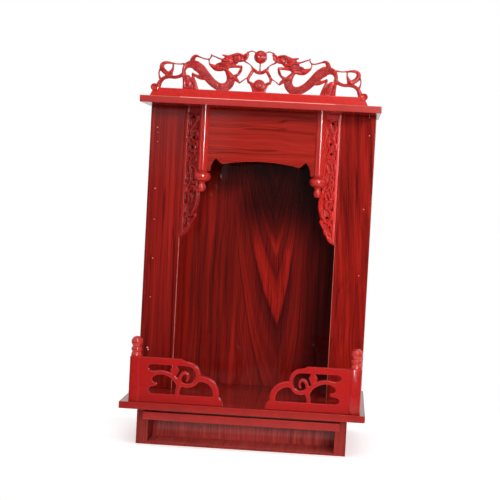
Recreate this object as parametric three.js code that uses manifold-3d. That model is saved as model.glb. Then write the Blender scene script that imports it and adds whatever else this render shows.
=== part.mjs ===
// Household altar cabinet: an open niche of wood-grained boards on a plinth, with red lacquered carved trim.
// Millimetres, +Z up. The front faces -Y, and the origin is at the middle of the underside.
import * as THREE from 'three';
import { mergeVertices } from 'three/addons/utils/BufferGeometryUtils.js';
import Module from 'manifold-3d';

const wasm = await Module();
wasm.setup();

// Boards
const BOARD = 12;
const BASE_WIDTH = 420;
const BASE_DEPTH = 320;
const BODY_INSET = 6;
const STILE_WIDTH = 63;
const CLEAR_HEIGHT = 514.5;
const LEDGE_DEPTH = 185;
const BACK_INSET = 7;
const TOP_OVERHANG = 114;

// Plinth and the rail under the base board
const PLINTH_HEIGHT = 61.5;
const PLINTH_INSET = 30;
const PLINTH_SETBACK = 17;
const PLINTH_SIDE = 20;
const PANEL_RECESS = 68;
const PLINTH_FLOOR = 4;
const RAIL_INSET = 12;
const RAIL_HEIGHT = 13.5;
const RAIL_DROP = 3.5;
const RAIL_SETBACK = 0.5;

// Trim under the top board: apron, hanging columns and brackets share one plane
const TRIM_THICK = 9;
const TRIM_FORWARD = 1;
const COLUMN_INSET = 35.5;
const COLUMN_RADIUS = 10;
const SHAFT_LENGTH = 114;
const BULGE_RADIUS = 16;
const BULGE_HEIGHT = 16;
const DROP_RADIUS = 7.5;
const NECK_RADIUS = 5.5;
const APRON_DROP = 92.5;
const BRACKET_HEIGHT = 236;
const BRACKET_WEB = 4;

// Crest
const CREST_INSET = 20;
const CREST_HEIGHT = 87;
const CREST_THICK = 9;
const CREST_SETBACK = 5;
const CREST_SHIFT = -4;

// Balustrades: the left one stands further in from its end of the base board than the right one
const LEFT_INSET = 13.5;
const RIGHT_INSET = 8.5;
const BALUSTRADE_SETBACK = 10;
const BALUSTRADE_LENGTH = 164;
const BALUSTRADE_HEIGHT = 76.5;
const BALUSTRADE_THICK = 10;
const POST_SIZE = 21;
const POST_STEP = 3;
const BALL_RADIUS = 10;

// How many sides a turned piece has
const ROUND_SIDES = 16;

// The gap left where a cut piece meets a round one
const FIT_GAP = 0.3;

// How far a joined solid's faces may move when they are merged
const FLAT_TOLERANCE = 0.05;

// How many straight pieces a drawn curve gets, and how blunt a carved stroke's ends are
const CURVE_STEPS = 6;
const CARVING_STEPS = 2;
const OPENWORK_STEPS = 3;
const BLUNTNESS = 0.7;

// Corners closer together than this are one corner
const WELD = 1e-4;

// Places that follow from the sizes
const BASE_TOP = PLINTH_HEIGHT + BOARD;
const CANOPY = BASE_TOP + CLEAR_HEIGHT;
const ROOF = CANOPY + BOARD;
const FRONT = -BASE_DEPTH / 2;
const REAR = BASE_DEPTH / 2;
const STILE_FRONT = FRONT + LEDGE_DEPTH;
const STILE_BACK = STILE_FRONT + BOARD;
const BACK_FACE = REAR - BACK_INSET - BOARD;
const TRIM_PLANE = STILE_FRONT - TRIM_FORWARD;
const BASE_END = BASE_WIDTH / 2;
const BODY_SIDE = BASE_END - BODY_INSET;
const STILE_GAP = BODY_SIDE - STILE_WIDTH;
const COLUMN_AXIS = STILE_GAP - COLUMN_INSET;

const grainedBoard = new THREE.MeshStandardMaterial({ color: 0x9c2a26, roughness: 0.3, metalness: 0 });
const grainedBack = new THREE.MeshStandardMaterial({ color: 0x64191a, roughness: 0.2, metalness: 0 });
const redLacquer = new THREE.MeshStandardMaterial({ color: 0xc22a2c, roughness: 0.28, metalness: 0 });

// A closed geometry as a manifold-3d solid
function solidOf(geometry) {
  const bare = geometry.index ? geometry.toNonIndexed() : geometry.clone();
  bare.deleteAttribute('normal');
  bare.deleteAttribute('uv');
  const merged = mergeVertices(bare, WELD);
  return new wasm.Manifold(new wasm.Mesh({
    numProp: 3,
    vertProperties: merged.attributes.position.array,
    triVerts: new Uint32Array(merged.index.array),
  }));
}

// Joined solids, with the flat faces that lie in one plane merged
function join(solids) {
  return solids.reduce((whole, next) => whole.add(next)).asOriginal().simplify(FLAT_TOLERANCE);
}

// A manifold-3d solid as a flat-shaded three.js geometry
function geometryOf(solid) {
  const mesh = solid.getMesh();
  const geometry = new THREE.BufferGeometry();
  geometry.setAttribute('position', new THREE.BufferAttribute(mesh.vertProperties, mesh.numProp));
  geometry.setIndex(new THREE.BufferAttribute(mesh.triVerts, 1));
  const flat = geometry.toNonIndexed();
  flat.computeVertexNormals();
  return flat;
}

function piece(name, geometry, material) {
  const mesh = new THREE.Mesh(geometry, material.clone());
  mesh.name = name;
  return mesh;
}

// A board between two opposite corners
function board(name, material, [left, front, bottom], [right, back, top]) {
  const mesh = piece(name, new THREE.BoxGeometry(right - left, back - front, top - bottom), material);
  mesh.position.set((left + right) / 2, (front + back) / 2, (bottom + top) / 2);
  return mesh;
}

// A flat shape drawn in across and up, as an upright plate whose front is at y = front
function plate(shape, front, thick) {
  const settings = { depth: thick, bevelEnabled: false, curveSegments: CURVE_STEPS };
  const geometry = new THREE.ExtrudeGeometry(shape, settings);
  geometry.rotateX(Math.PI / 2);
  geometry.translate(0, front + thick, 0);
  return solidOf(geometry);
}

function polygon(points) {
  return new THREE.Shape(points.map(([across, up]) => new THREE.Vector2(across, up)));
}

function disc(across, up, radius) {
  return new THREE.Shape().absarc(across, up, radius, 0, 2 * Math.PI);
}

// A carved stroke: a smooth ribbon through [across, up, width] points, with a blunt point at each end
function stroke(points, steps) {
  const centres = new THREE.SplineCurve(points.map(([across, up]) => new THREE.Vector2(across, up)));
  const spans = points.length - 1;
  const count = spans * steps;
  const left = [];
  const right = [];
  for (let i = 0; i <= count; i++) {
    const place = Math.min(Math.floor(i / steps), spans - 1);
    const share = i / steps - place;
    const half = THREE.MathUtils.lerp(points[place][2], points[place + 1][2], share) / 2;
    const at = centres.getPoint(i / count);
    const tangent = centres.getTangent(i / count);
    const normal = new THREE.Vector2(-tangent.y, tangent.x);
    left.push(at.clone().addScaledVector(normal, half));
    right.unshift(at.clone().addScaledVector(normal, -half));
    if (i === 0) right.push(at.clone().addScaledVector(tangent, -half * BLUNTNESS));
    if (i === count) left.push(at.clone().addScaledVector(tangent, half * BLUNTNESS));
  }
  return new THREE.Shape([...left, ...right]);
}

// The same points on a drawing that is stretched to the piece's size, and mirrored where side is -1
function placed(points, side, across, up, originAcross = 0, originUp = 0) {
  const width = Math.min(across, up);
  return points.map(([u, v, w]) => [originAcross + side * u * across, originUp + v * up, (w || 0) * width]);
}

// Base, plinth and body

function buildBoards() {
  const base = BASE_END;
  const body = BODY_SIDE;
  const plinth = BASE_END - PLINTH_INSET;
  const insidePlinth = plinth - PLINTH_SIDE;
  const rail = plinth - RAIL_INSET;
  const plinthFront = FRONT + PLINTH_SETBACK;
  const plinthBack = REAR - PLINTH_SETBACK;
  const panelFront = plinthFront + PANEL_RECESS;
  const railTop = PLINTH_HEIGHT - RAIL_DROP;
  return [
    board('base_board', grainedBoard, [-base, FRONT, PLINTH_HEIGHT], [base, REAR, BASE_TOP]),
    board('top_board', grainedBoard, [-base, STILE_FRONT - TOP_OVERHANG, CANOPY], [base, REAR, ROOF]),
    board('left_stile', grainedBoard, [-body, STILE_FRONT, BASE_TOP], [-STILE_GAP, STILE_BACK, CANOPY]),
    board('right_stile', grainedBoard, [STILE_GAP, STILE_FRONT, BASE_TOP], [body, STILE_BACK, CANOPY]),
    board('left_side', grainedBoard, [-body, STILE_BACK, BASE_TOP], [BOARD - body, REAR, CANOPY]),
    board('right_side', grainedBoard, [body - BOARD, STILE_BACK, BASE_TOP], [body, REAR, CANOPY]),
    board('back_panel', grainedBack, [BOARD - body, BACK_FACE, BASE_TOP],
      [body - BOARD, BACK_FACE + BOARD, CANOPY]),
    board('plinth_left', grainedBoard, [-plinth, plinthFront, 0],
      [-insidePlinth, plinthBack, PLINTH_HEIGHT]),
    board('plinth_right', grainedBoard, [insidePlinth, plinthFront, 0], [plinth, plinthBack, PLINTH_HEIGHT]),
    board('plinth_floor', grainedBoard, [-insidePlinth, plinthFront, 0],
      [insidePlinth, plinthBack, PLINTH_FLOOR]),
    board('plinth_front', grainedBoard, [-insidePlinth, panelFront, PLINTH_FLOOR],
      [insidePlinth, panelFront + BOARD, PLINTH_HEIGHT]),
    board('plinth_back', grainedBoard, [-insidePlinth, plinthBack - BOARD, PLINTH_FLOOR],
      [insidePlinth, plinthBack, PLINTH_HEIGHT]),
    board('under_rail', grainedBoard, [-rail, FRONT + RAIL_SETBACK, railTop - RAIL_HEIGHT],
      [rail, plinthFront, railTop]),
  ];
}

// Hanging columns: a round shaft, a bulge, a neck and a small ball, turned in one

const GROOVE_DEPTH = 1;
const GROOVE_WIDTH = 2;
const BULGE_FOOT = 2;
const NECK_LENGTH = 4;
const NECK_TAPER = 3;
// The bulge's curve, as shares of its radius beyond the shaft's and of half its height
const BULGE_CURVE = [[0.44, 0.8], [0.85, 0.4], [1, 0], [0.85, -0.4], [0.44, -0.8]];

function columnProfile(extra) {
  const shaft = COLUMN_RADIUS + extra;
  const bulge = BULGE_RADIUS + extra;
  const neck = NECK_RADIUS + extra;
  const drop = DROP_RADIUS + extra;
  const bulgeTop = -SHAFT_LENGTH - GROOVE_WIDTH;
  const bulgeMiddle = bulgeTop - BULGE_HEIGHT / 2;
  const bulgeBottom = bulgeTop - BULGE_HEIGHT;
  const dropMiddle = bulgeBottom - DROP_RADIUS - NECK_LENGTH;
  const grooveMiddle = -SHAFT_LENGTH - GROOVE_WIDTH / 2;
  const points = [[0, 0], [shaft, 0], [shaft, -SHAFT_LENGTH], [shaft - GROOVE_DEPTH, grooveMiddle]];
  points.push([shaft + GROOVE_DEPTH, bulgeTop]);
  for (const [out, up] of BULGE_CURVE) {
    points.push([THREE.MathUtils.lerp(shaft, bulge, out), bulgeMiddle + up * BULGE_HEIGHT / 2]);
  }
  points.push([shaft - BULGE_FOOT, bulgeBottom], [neck, bulgeBottom - NECK_TAPER]);
  const from = Math.asin(neck / drop);
  for (let i = 0; i <= CURVE_STEPS; i++) {
    const turn = THREE.MathUtils.lerp(from, Math.PI, i / CURVE_STEPS);
    points.push([i === CURVE_STEPS ? 0 : drop * Math.sin(turn), dropMiddle + drop * Math.cos(turn)]);
  }
  return points;
}

function columnAt(across, extra) {
  const profile = columnProfile(extra).reverse().map(([radius, up]) => new THREE.Vector2(radius, up));
  const geometry = new THREE.LatheGeometry(profile, ROUND_SIDES);
  geometry.rotateX(Math.PI / 2);
  geometry.translate(across, TRIM_PLANE, CANOPY);
  return solidOf(geometry);
}

// Apron: a shallow arch between two cusps, then a pointed notch beside each column

const APRON_STRIP = 4.5;
const NOTCH_WIDTH = 9.5;
const NOTCH_RISE = 2.5;
const CUSP_WIDTH = 11.5;
const CUSP_DROP = 7.5;
const STRIP_DROP = 8;
const CUSP_BEND = [5, 3];

function buildApron() {
  const half = COLUMN_AXIS;
  const edge = half - COLUMN_RADIUS - APRON_STRIP;
  const notch = edge - NOTCH_WIDTH;
  const cusp = notch - CUSP_WIDTH;
  const [bendAcross, bendDown] = CUSP_BEND;
  const outline = new THREE.Shape();
  outline.moveTo(-half, 0);
  outline.lineTo(-half, -SHAFT_LENGTH);
  outline.lineTo(-edge, -SHAFT_LENGTH);
  outline.quadraticCurveTo(-edge, -APRON_DROP - STRIP_DROP, -notch, -APRON_DROP + NOTCH_RISE);
  outline.quadraticCurveTo(bendAcross - notch, -APRON_DROP - bendDown, -cusp, -APRON_DROP - CUSP_DROP);
  outline.quadraticCurveTo(0, -APRON_DROP + CUSP_DROP, cusp, -APRON_DROP - CUSP_DROP);
  outline.quadraticCurveTo(notch - bendAcross, -APRON_DROP - bendDown, notch, -APRON_DROP + NOTCH_RISE);
  outline.quadraticCurveTo(edge, -APRON_DROP - STRIP_DROP, edge, -SHAFT_LENGTH);
  outline.lineTo(half, -SHAFT_LENGTH);
  outline.lineTo(half, 0);
  return plate(outline, TRIM_PLANE - TRIM_THICK / 2, TRIM_THICK).translate([0, 0, CANOPY]);
}

// Brackets, drawn from the column's axis outwards and from the lower tip upwards

const BRACKET_DRAWN = { width: 35.5, height: 236 };
const BRACKET_OUTLINE = [[35.5, 236], [7.5, 236], [7.5, 88], [3, 84], [1.8, 76], [3, 64], [5.5, 52],
  [7.5, 45.5], [5.5, 41], [7.5, 36.5], [12, 34], [14, 26], [14.5, 19], [20, 16.5], [21, 9], [27, 3],
  [35.5, 0]];
const BRACKET_LOBES = [
  [[7, 88, 5], [6.5, 76, 8], [9, 60, 9], [13, 46, 5]],
  [[8, 42, 5], [11.5, 41, 5], [15, 44, 3]],
  [[12, 34, 4], [16.5, 28, 6], [17.5, 20, 6]],
  [[21, 18, 5], [25, 11, 7], [32, 4, 5]],
];
const OUTER_STRIP = [[27.5, 236], [27.5, 6], [35.5, 0], [35.5, 236]];
const TOP_STRIP = [[7.5, 236], [7.5, 225], [30, 225], [30, 236]];
const INNER_STRIP = [[7.5, 236], [7.5, 100], [11.5, 100], [11.5, 236]];
const BRACKET_ROOM = [[0, 236], [0, 0], [35.5, 0], [35.5, 236]];

// The vine that waves up the bracket. Its bends from the first to the last carry leaves and a pierced eye.
const VINE = { wave: 46, swing: 4, middle: 19.5, width: 2.6, low: 20, high: 226, lean: 6, leanReach: 110 };
const FIRST_BEND = 2;
const LAST_BEND = 8;
const EYE = { out: 3.4, rise: 8, radius: 1.5 };
// A leaf and a tendril at a bend, drawn from the vine outwards and up
const LEAF = [[0, 0, 2.4], [5, 5, 3.4], [7, 12, 2.8], [3.6, 15.5, 1.6]];
const TENDRIL = [[0, -2, 2], [4.2, -5.5, 2.8], [6.6, -10.5, 1.4]];

// The vine's middle line at a height above the bracket's tip: it leans out towards the stile near the tip
function vineAt(up) {
  const lean = VINE.lean * Math.max(0, 1 - up / VINE.leanReach);
  return VINE.middle + lean + VINE.swing * Math.sin(2 * Math.PI * up / VINE.wave);
}

// Where each bend of the vine is, and which way its hollow side faces
function vineBends() {
  const bends = [];
  for (let bend = FIRST_BEND; bend <= LAST_BEND; bend++) {
    bends.push([(bend + 0.5) * VINE.wave / 2, bend % 2 ? 1 : -1]);
  }
  return bends;
}

function bracketStrokes() {
  const vine = [];
  for (let up = VINE.low; up <= VINE.high; up += VINE.wave / 4) vine.push([vineAt(up), up, VINE.width]);
  const strokes = [...BRACKET_LOBES, vine];
  for (const [up, turn] of vineBends()) {
    for (const drawn of [LEAF, TENDRIL]) {
      strokes.push(drawn.map(([out, rise, width]) => [vineAt(up) + turn * out, up + rise, width]));
    }
  }
  return strokes;
}

function buildBracket(side) {
  const axis = COLUMN_AXIS;
  const across = COLUMN_INSET / BRACKET_DRAWN.width;
  const up = BRACKET_HEIGHT / BRACKET_DRAWN.height;
  const front = TRIM_PLANE - TRIM_THICK / 2;
  const back = TRIM_PLANE + TRIM_THICK / 2;
  const put = (points) => placed(points, side, across, up, side * axis, CANOPY - BRACKET_HEIGHT);
  const web = plate(polygon(put(BRACKET_OUTLINE)), back - BRACKET_WEB, BRACKET_WEB);
  const strips = [OUTER_STRIP, TOP_STRIP, INNER_STRIP].map((points) => polygon(put(points)));
  const carving = bracketStrokes().map((points) => stroke(put(points), CARVING_STEPS));
  const relief = [...strips, ...carving].map((shape) => plate(shape, front, TRIM_THICK));
  let solid = join([web, ...relief]);
  // The pierced eyes sit in the hollows of the vine's bends
  for (const [bendUp, turn] of vineBends()) {
    const eyeUp = bendUp + EYE.rise;
    const eye = [vineAt(eyeUp) + turn * EYE.out, eyeUp, EYE.radius];
    const [[eyeAcross, eyeHeight, eyeRadius]] = put([eye]);
    solid = solid.subtract(plate(disc(eyeAcross, eyeHeight, eyeRadius), front, TRIM_THICK));
  }
  solid = solid.subtract(columnAt(side * axis, FIT_GAP));
  const room = plate(polygon(put(BRACKET_ROOM)), front, TRIM_THICK);
  return solid.intersect(room).asOriginal().simplify(FLAT_TOLERANCE);
}

// Crest: two dragons that face a pearl over a pierced ground, drawn from the middle outwards and up

const CREST_DRAWN = { half: 190, height: 87 };
const RAIL_OUTLINE = [[-190, 0], [190, 0], [186.5, 7], [182, 14.5], [-182, 14.5], [-186.5, 7]];
const BALL_BASE = [[-12, 13], [12, 13], [15.5, 29], [-15.5, 29]];
const CREST_DISCS = [[0, 75.5, 11.5], [0, 26, 10.8]];
const END_BOSS = [182.5, 15, 6.5];
const STEM = [[0, 66, 2.6], [0, 58, 2.4], [0, 49, 3]];
const CUP = [[-7, 48.5, 5], [0, 47, 7], [7, 48.5, 5]];
const CREST_CARVING = {
  cupHorn: [[5, 48, 5], [9.5, 51, 5], [12, 55, 3.6], [13, 59.5, 1.6]],
  cupArm: [[11, 53, 5], [15.5, 46, 5], [19, 39, 4.5], [20, 31, 3]],
  cupFoot: [[20, 31, 2.6], [15.5, 27, 5], [12, 19, 6], [11, 12, 7]],
  browWhisker: [[7.5, 83, 2], [14.5, 85.7, 2], [20.5, 82, 2.4]],
  chinWhisker: [[12.5, 58.5, 2], [19, 63.5, 2], [27, 66.5, 3]],
  clawWhisker: [[19, 40, 2.2], [26, 35.5, 2], [33, 29, 2.4]],
  snout: [[19.5, 82, 2.6], [21.5, 76.5, 6.5], [26, 71.5, 9.5], [33, 71, 12], [43, 69.5, 12]],
  brow: [[33, 76.5, 8], [39, 76, 11], [47, 73, 13], [56, 69, 14], [64, 63, 12]],
  horn: [[52, 71, 8], [59, 73.5, 4.5], [66, 76, 1.8]],
  jaw: [[28.5, 57.5, 2.6], [36, 57.3, 4.6], [44, 57, 6.5], [53, 57, 12], [62, 57, 16]],
  beard: [[29.5, 57, 3], [30.5, 51, 3], [33.5, 45.5, 3.4], [39, 41.5, 4.4], [46, 39.5, 8]],
  claw: [[33, 28.5, 2], [37, 33, 5], [43, 38, 8], [50, 38, 10]],
  body: [[62, 58, 14], [55, 48, 7.5], [50.5, 39.5, 13], [49.5, 30, 15], [57, 21.5, 15], [69, 20.5, 14],
    [82, 28, 14], [93, 39, 15], [103, 49.5, 17], [112, 55.5, 18]],
  foreleg: [[92, 60, 2.2], [86, 57, 6], [78, 54, 12], [69, 54, 14], [61, 57, 14]],
  maneLine: [[63, 68, 4], [72, 70, 2.4], [79, 72, 2.4], [84, 75, 1.8]],
  backLine: [[79, 71.5, 2.2], [88, 68, 2.2], [96, 67.8, 2.2], [105, 70.5, 2.4], [112, 71.5, 4]],
  flame: [[109.5, 72, 3], [115, 70.5, 6], [118, 65, 9], [116, 57, 12]],
  haunch: [[110, 56, 16], [121, 57.5, 13], [130, 53, 11], [132.5, 43, 8], [132.5, 34, 9], [130.5, 24, 12],
    [130, 12, 14]],
  hindLeg: [[117, 40.5, 2.4], [110, 37, 5], [102, 34.5, 8], [93, 36, 12]],
  shin: [[116, 40, 2.4], [114.5, 32, 3.5], [111, 24, 5.5], [108, 12, 7.5]],
  foot: [[115, 33, 4], [119, 28, 8], [123, 21, 8], [125, 12, 10]],
  tail: [[131, 40, 6], [139, 33.5, 5], [149, 30.5, 5], [159, 31, 5], [167, 28.5, 6], [173, 21.5, 8],
    [177, 12, 10]],
  tailCurl: [[156, 33, 8], [164, 38.5, 7], [169, 45.5, 6.5], [168, 53.5, 6.5], [160, 58, 4.5],
    [151, 57, 3.5]],
  tailBar: [[151.5, 57.5, 2.8], [147.5, 52, 2.8], [149.5, 43.5, 3.2], [154, 37, 5], [156, 32, 7]],
  tailLoop: [[171, 45, 2.4], [174.5, 38, 2.2], [173.5, 31, 2.2], [171.5, 25, 3]],
  tailLine: [[151, 57, 2.2], [142, 55.5, 2.2], [134, 57, 3]],
};
// How far each thin stroke lies behind the front, so that the figures stand out from the ground
const THIN_STROKES = ['browWhisker', 'chinWhisker', 'clawWhisker', 'maneLine', 'backLine', 'tailLine',
  'tailLoop', 'shin'];
const THIN_RECESS = 2.5;
const RAIL_RECESS = 1;

function buildCrest() {
  const across = (BASE_END - CREST_INSET) / CREST_DRAWN.half;
  const up = CREST_HEIGHT / CREST_DRAWN.height;
  const front = STILE_FRONT - TOP_OVERHANG + CREST_SETBACK;
  const put = (points, side = 1) => placed(points, side, across, up, CREST_SHIFT, ROOF);
  const strokePlate = (points, side, recess) => {
    return plate(stroke(put(points, side), CARVING_STEPS), front + recess, CREST_THICK - recess);
  };
  const discPlate = ([u, v, radius], side) => {
    const [[x, z, width]] = put([[u, v, 2 * radius]], side);
    return plate(disc(x, z, width / 2), front, CREST_THICK);
  };
  const solids = [plate(polygon(put(RAIL_OUTLINE)), front + RAIL_RECESS, CREST_THICK - RAIL_RECESS)];
  solids.push(plate(polygon(put(BALL_BASE)), front + RAIL_RECESS, CREST_THICK - RAIL_RECESS));
  solids.push(strokePlate(STEM, 1, THIN_RECESS), strokePlate(CUP, 1, 0));
  for (const middle of CREST_DISCS) solids.push(discPlate(middle, 1));
  for (const side of [-1, 1]) {
    solids.push(discPlate(END_BOSS, side));
    for (const [name, points] of Object.entries(CREST_CARVING)) {
      solids.push(strokePlate(points, side, THIN_STROKES.includes(name) ? THIN_RECESS : 0));
    }
  }
  return join(solids);
}

// Balustrades, drawn from the post's outer side towards the middle of the cabinet and up from the base board

const BALUSTRADE_DRAWN = { length: 164, height: 76.5 };
const OPENWORK = {
  vine: [[30, 47, 14], [42, 49.5, 8], [52, 51.5, 7.5], [61.5, 51, 7.5], [71.5, 47.5, 8], [80.5, 40.5, 8],
    [87, 31, 9]],
  stem: [[88, 32, 9], [85, 24, 7], [84, 17, 6.5], [84.5, 10, 8]],
  spiral: [[87.5, 31, 8], [87.5, 42, 6], [90.5, 50, 6], [96.5, 53, 5.5], [101.5, 49, 5], [101.5, 43, 4.5],
    [99.5, 39.5, 4]],
  tongue: [[28, 30.5, 14], [38, 30.5, 9], [48, 31, 6]],
};
const DIAMOND = [[77, 68], [69.5, 56.5], [78, 47], [85, 57]];
const SLOT_ENDS = [[39.5, 20.5, 5.5], [45.5, 39, 6], [38, 59.5, 5.5]];
const RING = { across: 100, up: 49.6, inner: 14.8, outer: 22.4 };
const ARCH = { across: 124.5, up: 18, inner: 21, outer: 31.5 };

const RING_TURN = [-0.85, 0.55];
const ARCH_TURN = [-0.12, 0.6];
const TOP_RAIL = [[16, 65], [104, 65], [104, 71.5], [97, 72.5], [92, 74], [88, 76.5], [16, 76.5]];
const BOTTOM_RAIL = [[16, 0], [163.5, 0], [162.5, 5.5], [160, 10.5], [155.5, 14.5], [16, 14.5]];
const UPRIGHT = { from: 16, to: 38, top: 76.5 };
// The post's turned top, as shares of half the post's width and heights above the post
const FINIAL_DRAWN = [[0, -1], [0.905, -1], [0.905, 3], [0.81, 7], [0.714, 7.8], [0.876, 9], [0.905, 12.5],
  [0.876, 16], [0.714, 17]];
const FINIAL_NECK = 17;
// Where the ball starts, as a share of a half turn from its lowest point
const BALL_START = 0.27;

// A bent band of a ring, between two shares of a half turn
function bandShape({ across, up, inner, outer }, [from, to]) {
  const shape = new THREE.Shape();
  shape.absarc(across, up, outer, from * Math.PI, to * Math.PI, false);
  shape.absarc(across, up, inner, to * Math.PI, from * Math.PI, true);
  return shape;
}

// The upright beside the post, with the round blind ends of the three slots
function uprightShape() {
  const shape = new THREE.Shape();
  shape.moveTo(UPRIGHT.from, 0);
  for (const [across, up, radius] of SLOT_ENDS) {
    shape.lineTo(across, up - radius);
    shape.absarc(across, up, radius, -Math.PI / 2, Math.PI / 2, true);
  }
  shape.lineTo(UPRIGHT.to, UPRIGHT.top);
  shape.lineTo(UPRIGHT.from, UPRIGHT.top);
  return shape;
}

function panelShapes() {
  const strokes = Object.values(OPENWORK).map((points) => stroke(points, OPENWORK_STEPS));
  const bands = [bandShape(RING, RING_TURN), bandShape(ARCH, ARCH_TURN)];
  return [polygon(TOP_RAIL), polygon(BOTTOM_RAIL), uprightShape(), ...bands, polygon(DIAMOND), ...strokes];
}

function finialProfile() {
  const points = FINIAL_DRAWN.map(([out, up]) => [out * POST_SIZE / 2, up]);
  const middle = FINIAL_NECK + BALL_RADIUS * Math.cos(BALL_START * Math.PI);
  for (let i = 0; i <= CURVE_STEPS; i++) {
    const turn = THREE.MathUtils.lerp(BALL_START, 1, i / CURVE_STEPS) * Math.PI;
    const radius = i === CURVE_STEPS ? 0 : BALL_RADIUS * Math.sin(turn);
    points.push([radius, middle - BALL_RADIUS * Math.cos(turn)]);
  }
  return points.map(([radius, up]) => new THREE.Vector2(radius, up));
}

function buildBalustrade(side, inset) {
  const lengthways = BALUSTRADE_LENGTH / BALUSTRADE_DRAWN.length;
  const upwards = BALUSTRADE_HEIGHT / BALUSTRADE_DRAWN.height;
  const solids = panelShapes().map((shape) => plate(shape, 0, BALUSTRADE_THICK));
  const panelPlace = [0, BALUSTRADE_SETBACK + POST_STEP, 0];
  const panel = join(solids).scale([lengthways, 1, upwards]).translate(panelPlace);
  const post = new THREE.BoxGeometry(POST_SIZE, POST_SIZE, BALUSTRADE_HEIGHT);
  post.translate(POST_SIZE / 2, BALUSTRADE_SETBACK + POST_SIZE / 2, BALUSTRADE_HEIGHT / 2);
  const finial = new THREE.LatheGeometry(finialProfile(), ROUND_SIDES);
  finial.rotateX(Math.PI / 2);
  finial.translate(POST_SIZE / 2, BALUSTRADE_SETBACK + POST_SIZE / 2, BALUSTRADE_HEIGHT);
  const whole = join([panel, solidOf(post), solidOf(finial)]);
  const outer = side * (BASE_END - inset);
  const turned = side > 0 ? whole.mirror([1, 0, 0]) : whole;
  return turned.translate([outer, FRONT, BASE_TOP]);
}

const group = new THREE.Group();
for (const mesh of buildBoards()) group.add(mesh);
const leftRoom = columnAt(-COLUMN_AXIS, FIT_GAP);
const rightRoom = columnAt(COLUMN_AXIS, FIT_GAP);
const apron = buildApron().subtract(leftRoom).subtract(rightRoom);
group.add(piece('apron', geometryOf(apron), grainedBoard));
group.add(piece('left_column', geometryOf(columnAt(-COLUMN_AXIS, 0)), redLacquer));
group.add(piece('right_column', geometryOf(columnAt(COLUMN_AXIS, 0)), redLacquer));
group.add(piece('left_bracket', geometryOf(buildBracket(-1)), redLacquer));
group.add(piece('right_bracket', geometryOf(buildBracket(1)), redLacquer));
group.add(piece('crest', geometryOf(buildCrest()), redLacquer));
group.add(piece('left_balustrade', geometryOf(buildBalustrade(-1, LEFT_INSET)), redLacquer));
group.add(piece('right_balustrade', geometryOf(buildBalustrade(1, RIGHT_INSET)), redLacquer));

export default group;
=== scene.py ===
import bpy
import math
import numpy
from mathutils import Matrix, Vector


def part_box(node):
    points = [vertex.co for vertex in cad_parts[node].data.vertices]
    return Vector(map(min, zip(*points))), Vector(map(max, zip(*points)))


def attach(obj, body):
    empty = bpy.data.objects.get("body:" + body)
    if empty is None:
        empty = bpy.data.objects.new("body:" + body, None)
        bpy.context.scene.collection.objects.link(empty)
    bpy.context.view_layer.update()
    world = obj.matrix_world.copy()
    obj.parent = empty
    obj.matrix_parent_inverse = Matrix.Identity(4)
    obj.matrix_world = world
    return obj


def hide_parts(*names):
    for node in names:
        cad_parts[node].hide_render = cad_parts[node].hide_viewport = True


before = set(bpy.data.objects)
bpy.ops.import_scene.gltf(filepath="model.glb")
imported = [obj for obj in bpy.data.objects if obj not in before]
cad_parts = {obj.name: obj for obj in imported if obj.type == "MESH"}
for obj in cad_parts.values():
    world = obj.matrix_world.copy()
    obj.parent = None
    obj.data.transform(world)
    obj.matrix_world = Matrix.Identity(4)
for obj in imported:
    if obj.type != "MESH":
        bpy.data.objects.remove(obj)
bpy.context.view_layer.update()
mm = 0.001
print("frame loaded:", len(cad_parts), "solids")


def hexColour(text):
    # sRGB hex to the linear values that the shaders take
    parts = [int(text[i:i + 2], 16) / 255 for i in (0, 2, 4)]
    return tuple(c / 12.92 if c <= 0.04045 else ((c + 0.055) / 1.055) ** 2.4 for c in parts) + (1.0,)


def addNode(tree, kind, settings=None, links=None):
    # a node, its settings, and for each input a value, or the node or socket that feeds it
    node = tree.nodes.new(kind)
    for key, value in (settings or {}).items():
        setattr(node, key, value)
    for key, value in (links or {}).items():
        if isinstance(value, bpy.types.Node):
            value = value.outputs[0]
        if isinstance(value, bpy.types.NodeSocket):
            tree.links.new(value, node.inputs[key])
        else:
            node.inputs[key].default_value = value
    return node


def setRamp(node, stops):
    # colour stops from [place, hex] pairs
    ramp = node.color_ramp
    while len(ramp.elements) < len(stops):
        ramp.elements.new(1.0)
    for element, (place, colour) in zip(ramp.elements, stops):
        element.position = place
        element.color = hexColour(colour)
    return node


def clearSelection():
    if bpy.context.object and bpy.context.object.mode != 'OBJECT':
        bpy.ops.object.mode_set(mode='OBJECT')
    bpy.ops.object.select_all(action='DESELECT')


def takeUp(obj):
    clearSelection()
    obj.select_set(True)
    bpy.context.view_layer.objects.active = obj
    return obj


def useModifier(obj, kind, settings):
    # adds a modifier and applies it at once
    takeUp(obj)
    modifier = obj.modifiers.new(kind.title(), kind)
    for key, value in settings.items():
        setattr(modifier, key, value)
    bpy.ops.object.modifier_apply(modifier=modifier.name)
    return obj


def joinPieces(pieces, name):
    clearSelection()
    for obj in pieces:
        obj.select_set(True)
    bpy.context.view_layer.objects.active = pieces[0]
    bpy.ops.object.join()
    bpy.context.object.name = name
    bpy.context.object.data.name = name
    return bpy.context.object


def finishPiece(obj, nodes, materials, smooth=None):
    # puts a piece's place into its mesh, rides it on the cabinet and hides the solids that it stands for
    takeUp(obj)
    bpy.ops.object.transform_apply(location=True, rotation=True, scale=True)
    if smooth:
        bpy.ops.object.shade_smooth_by_angle(angle=math.radians(smooth))
    for material in materials:
        obj.data.materials.append(material)
    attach(obj, "root")
    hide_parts(*nodes)
    return obj


# camera at the photograph's angle

cameraView = {
    "place": (0.1586, -2.653, 0.4523),
    "yaw": 3.74,
    "pitch": -2.31,
    "roll": -3.2,
    "lens": 106.56,
    "shift": (-0.001, 0.001),
}

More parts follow.
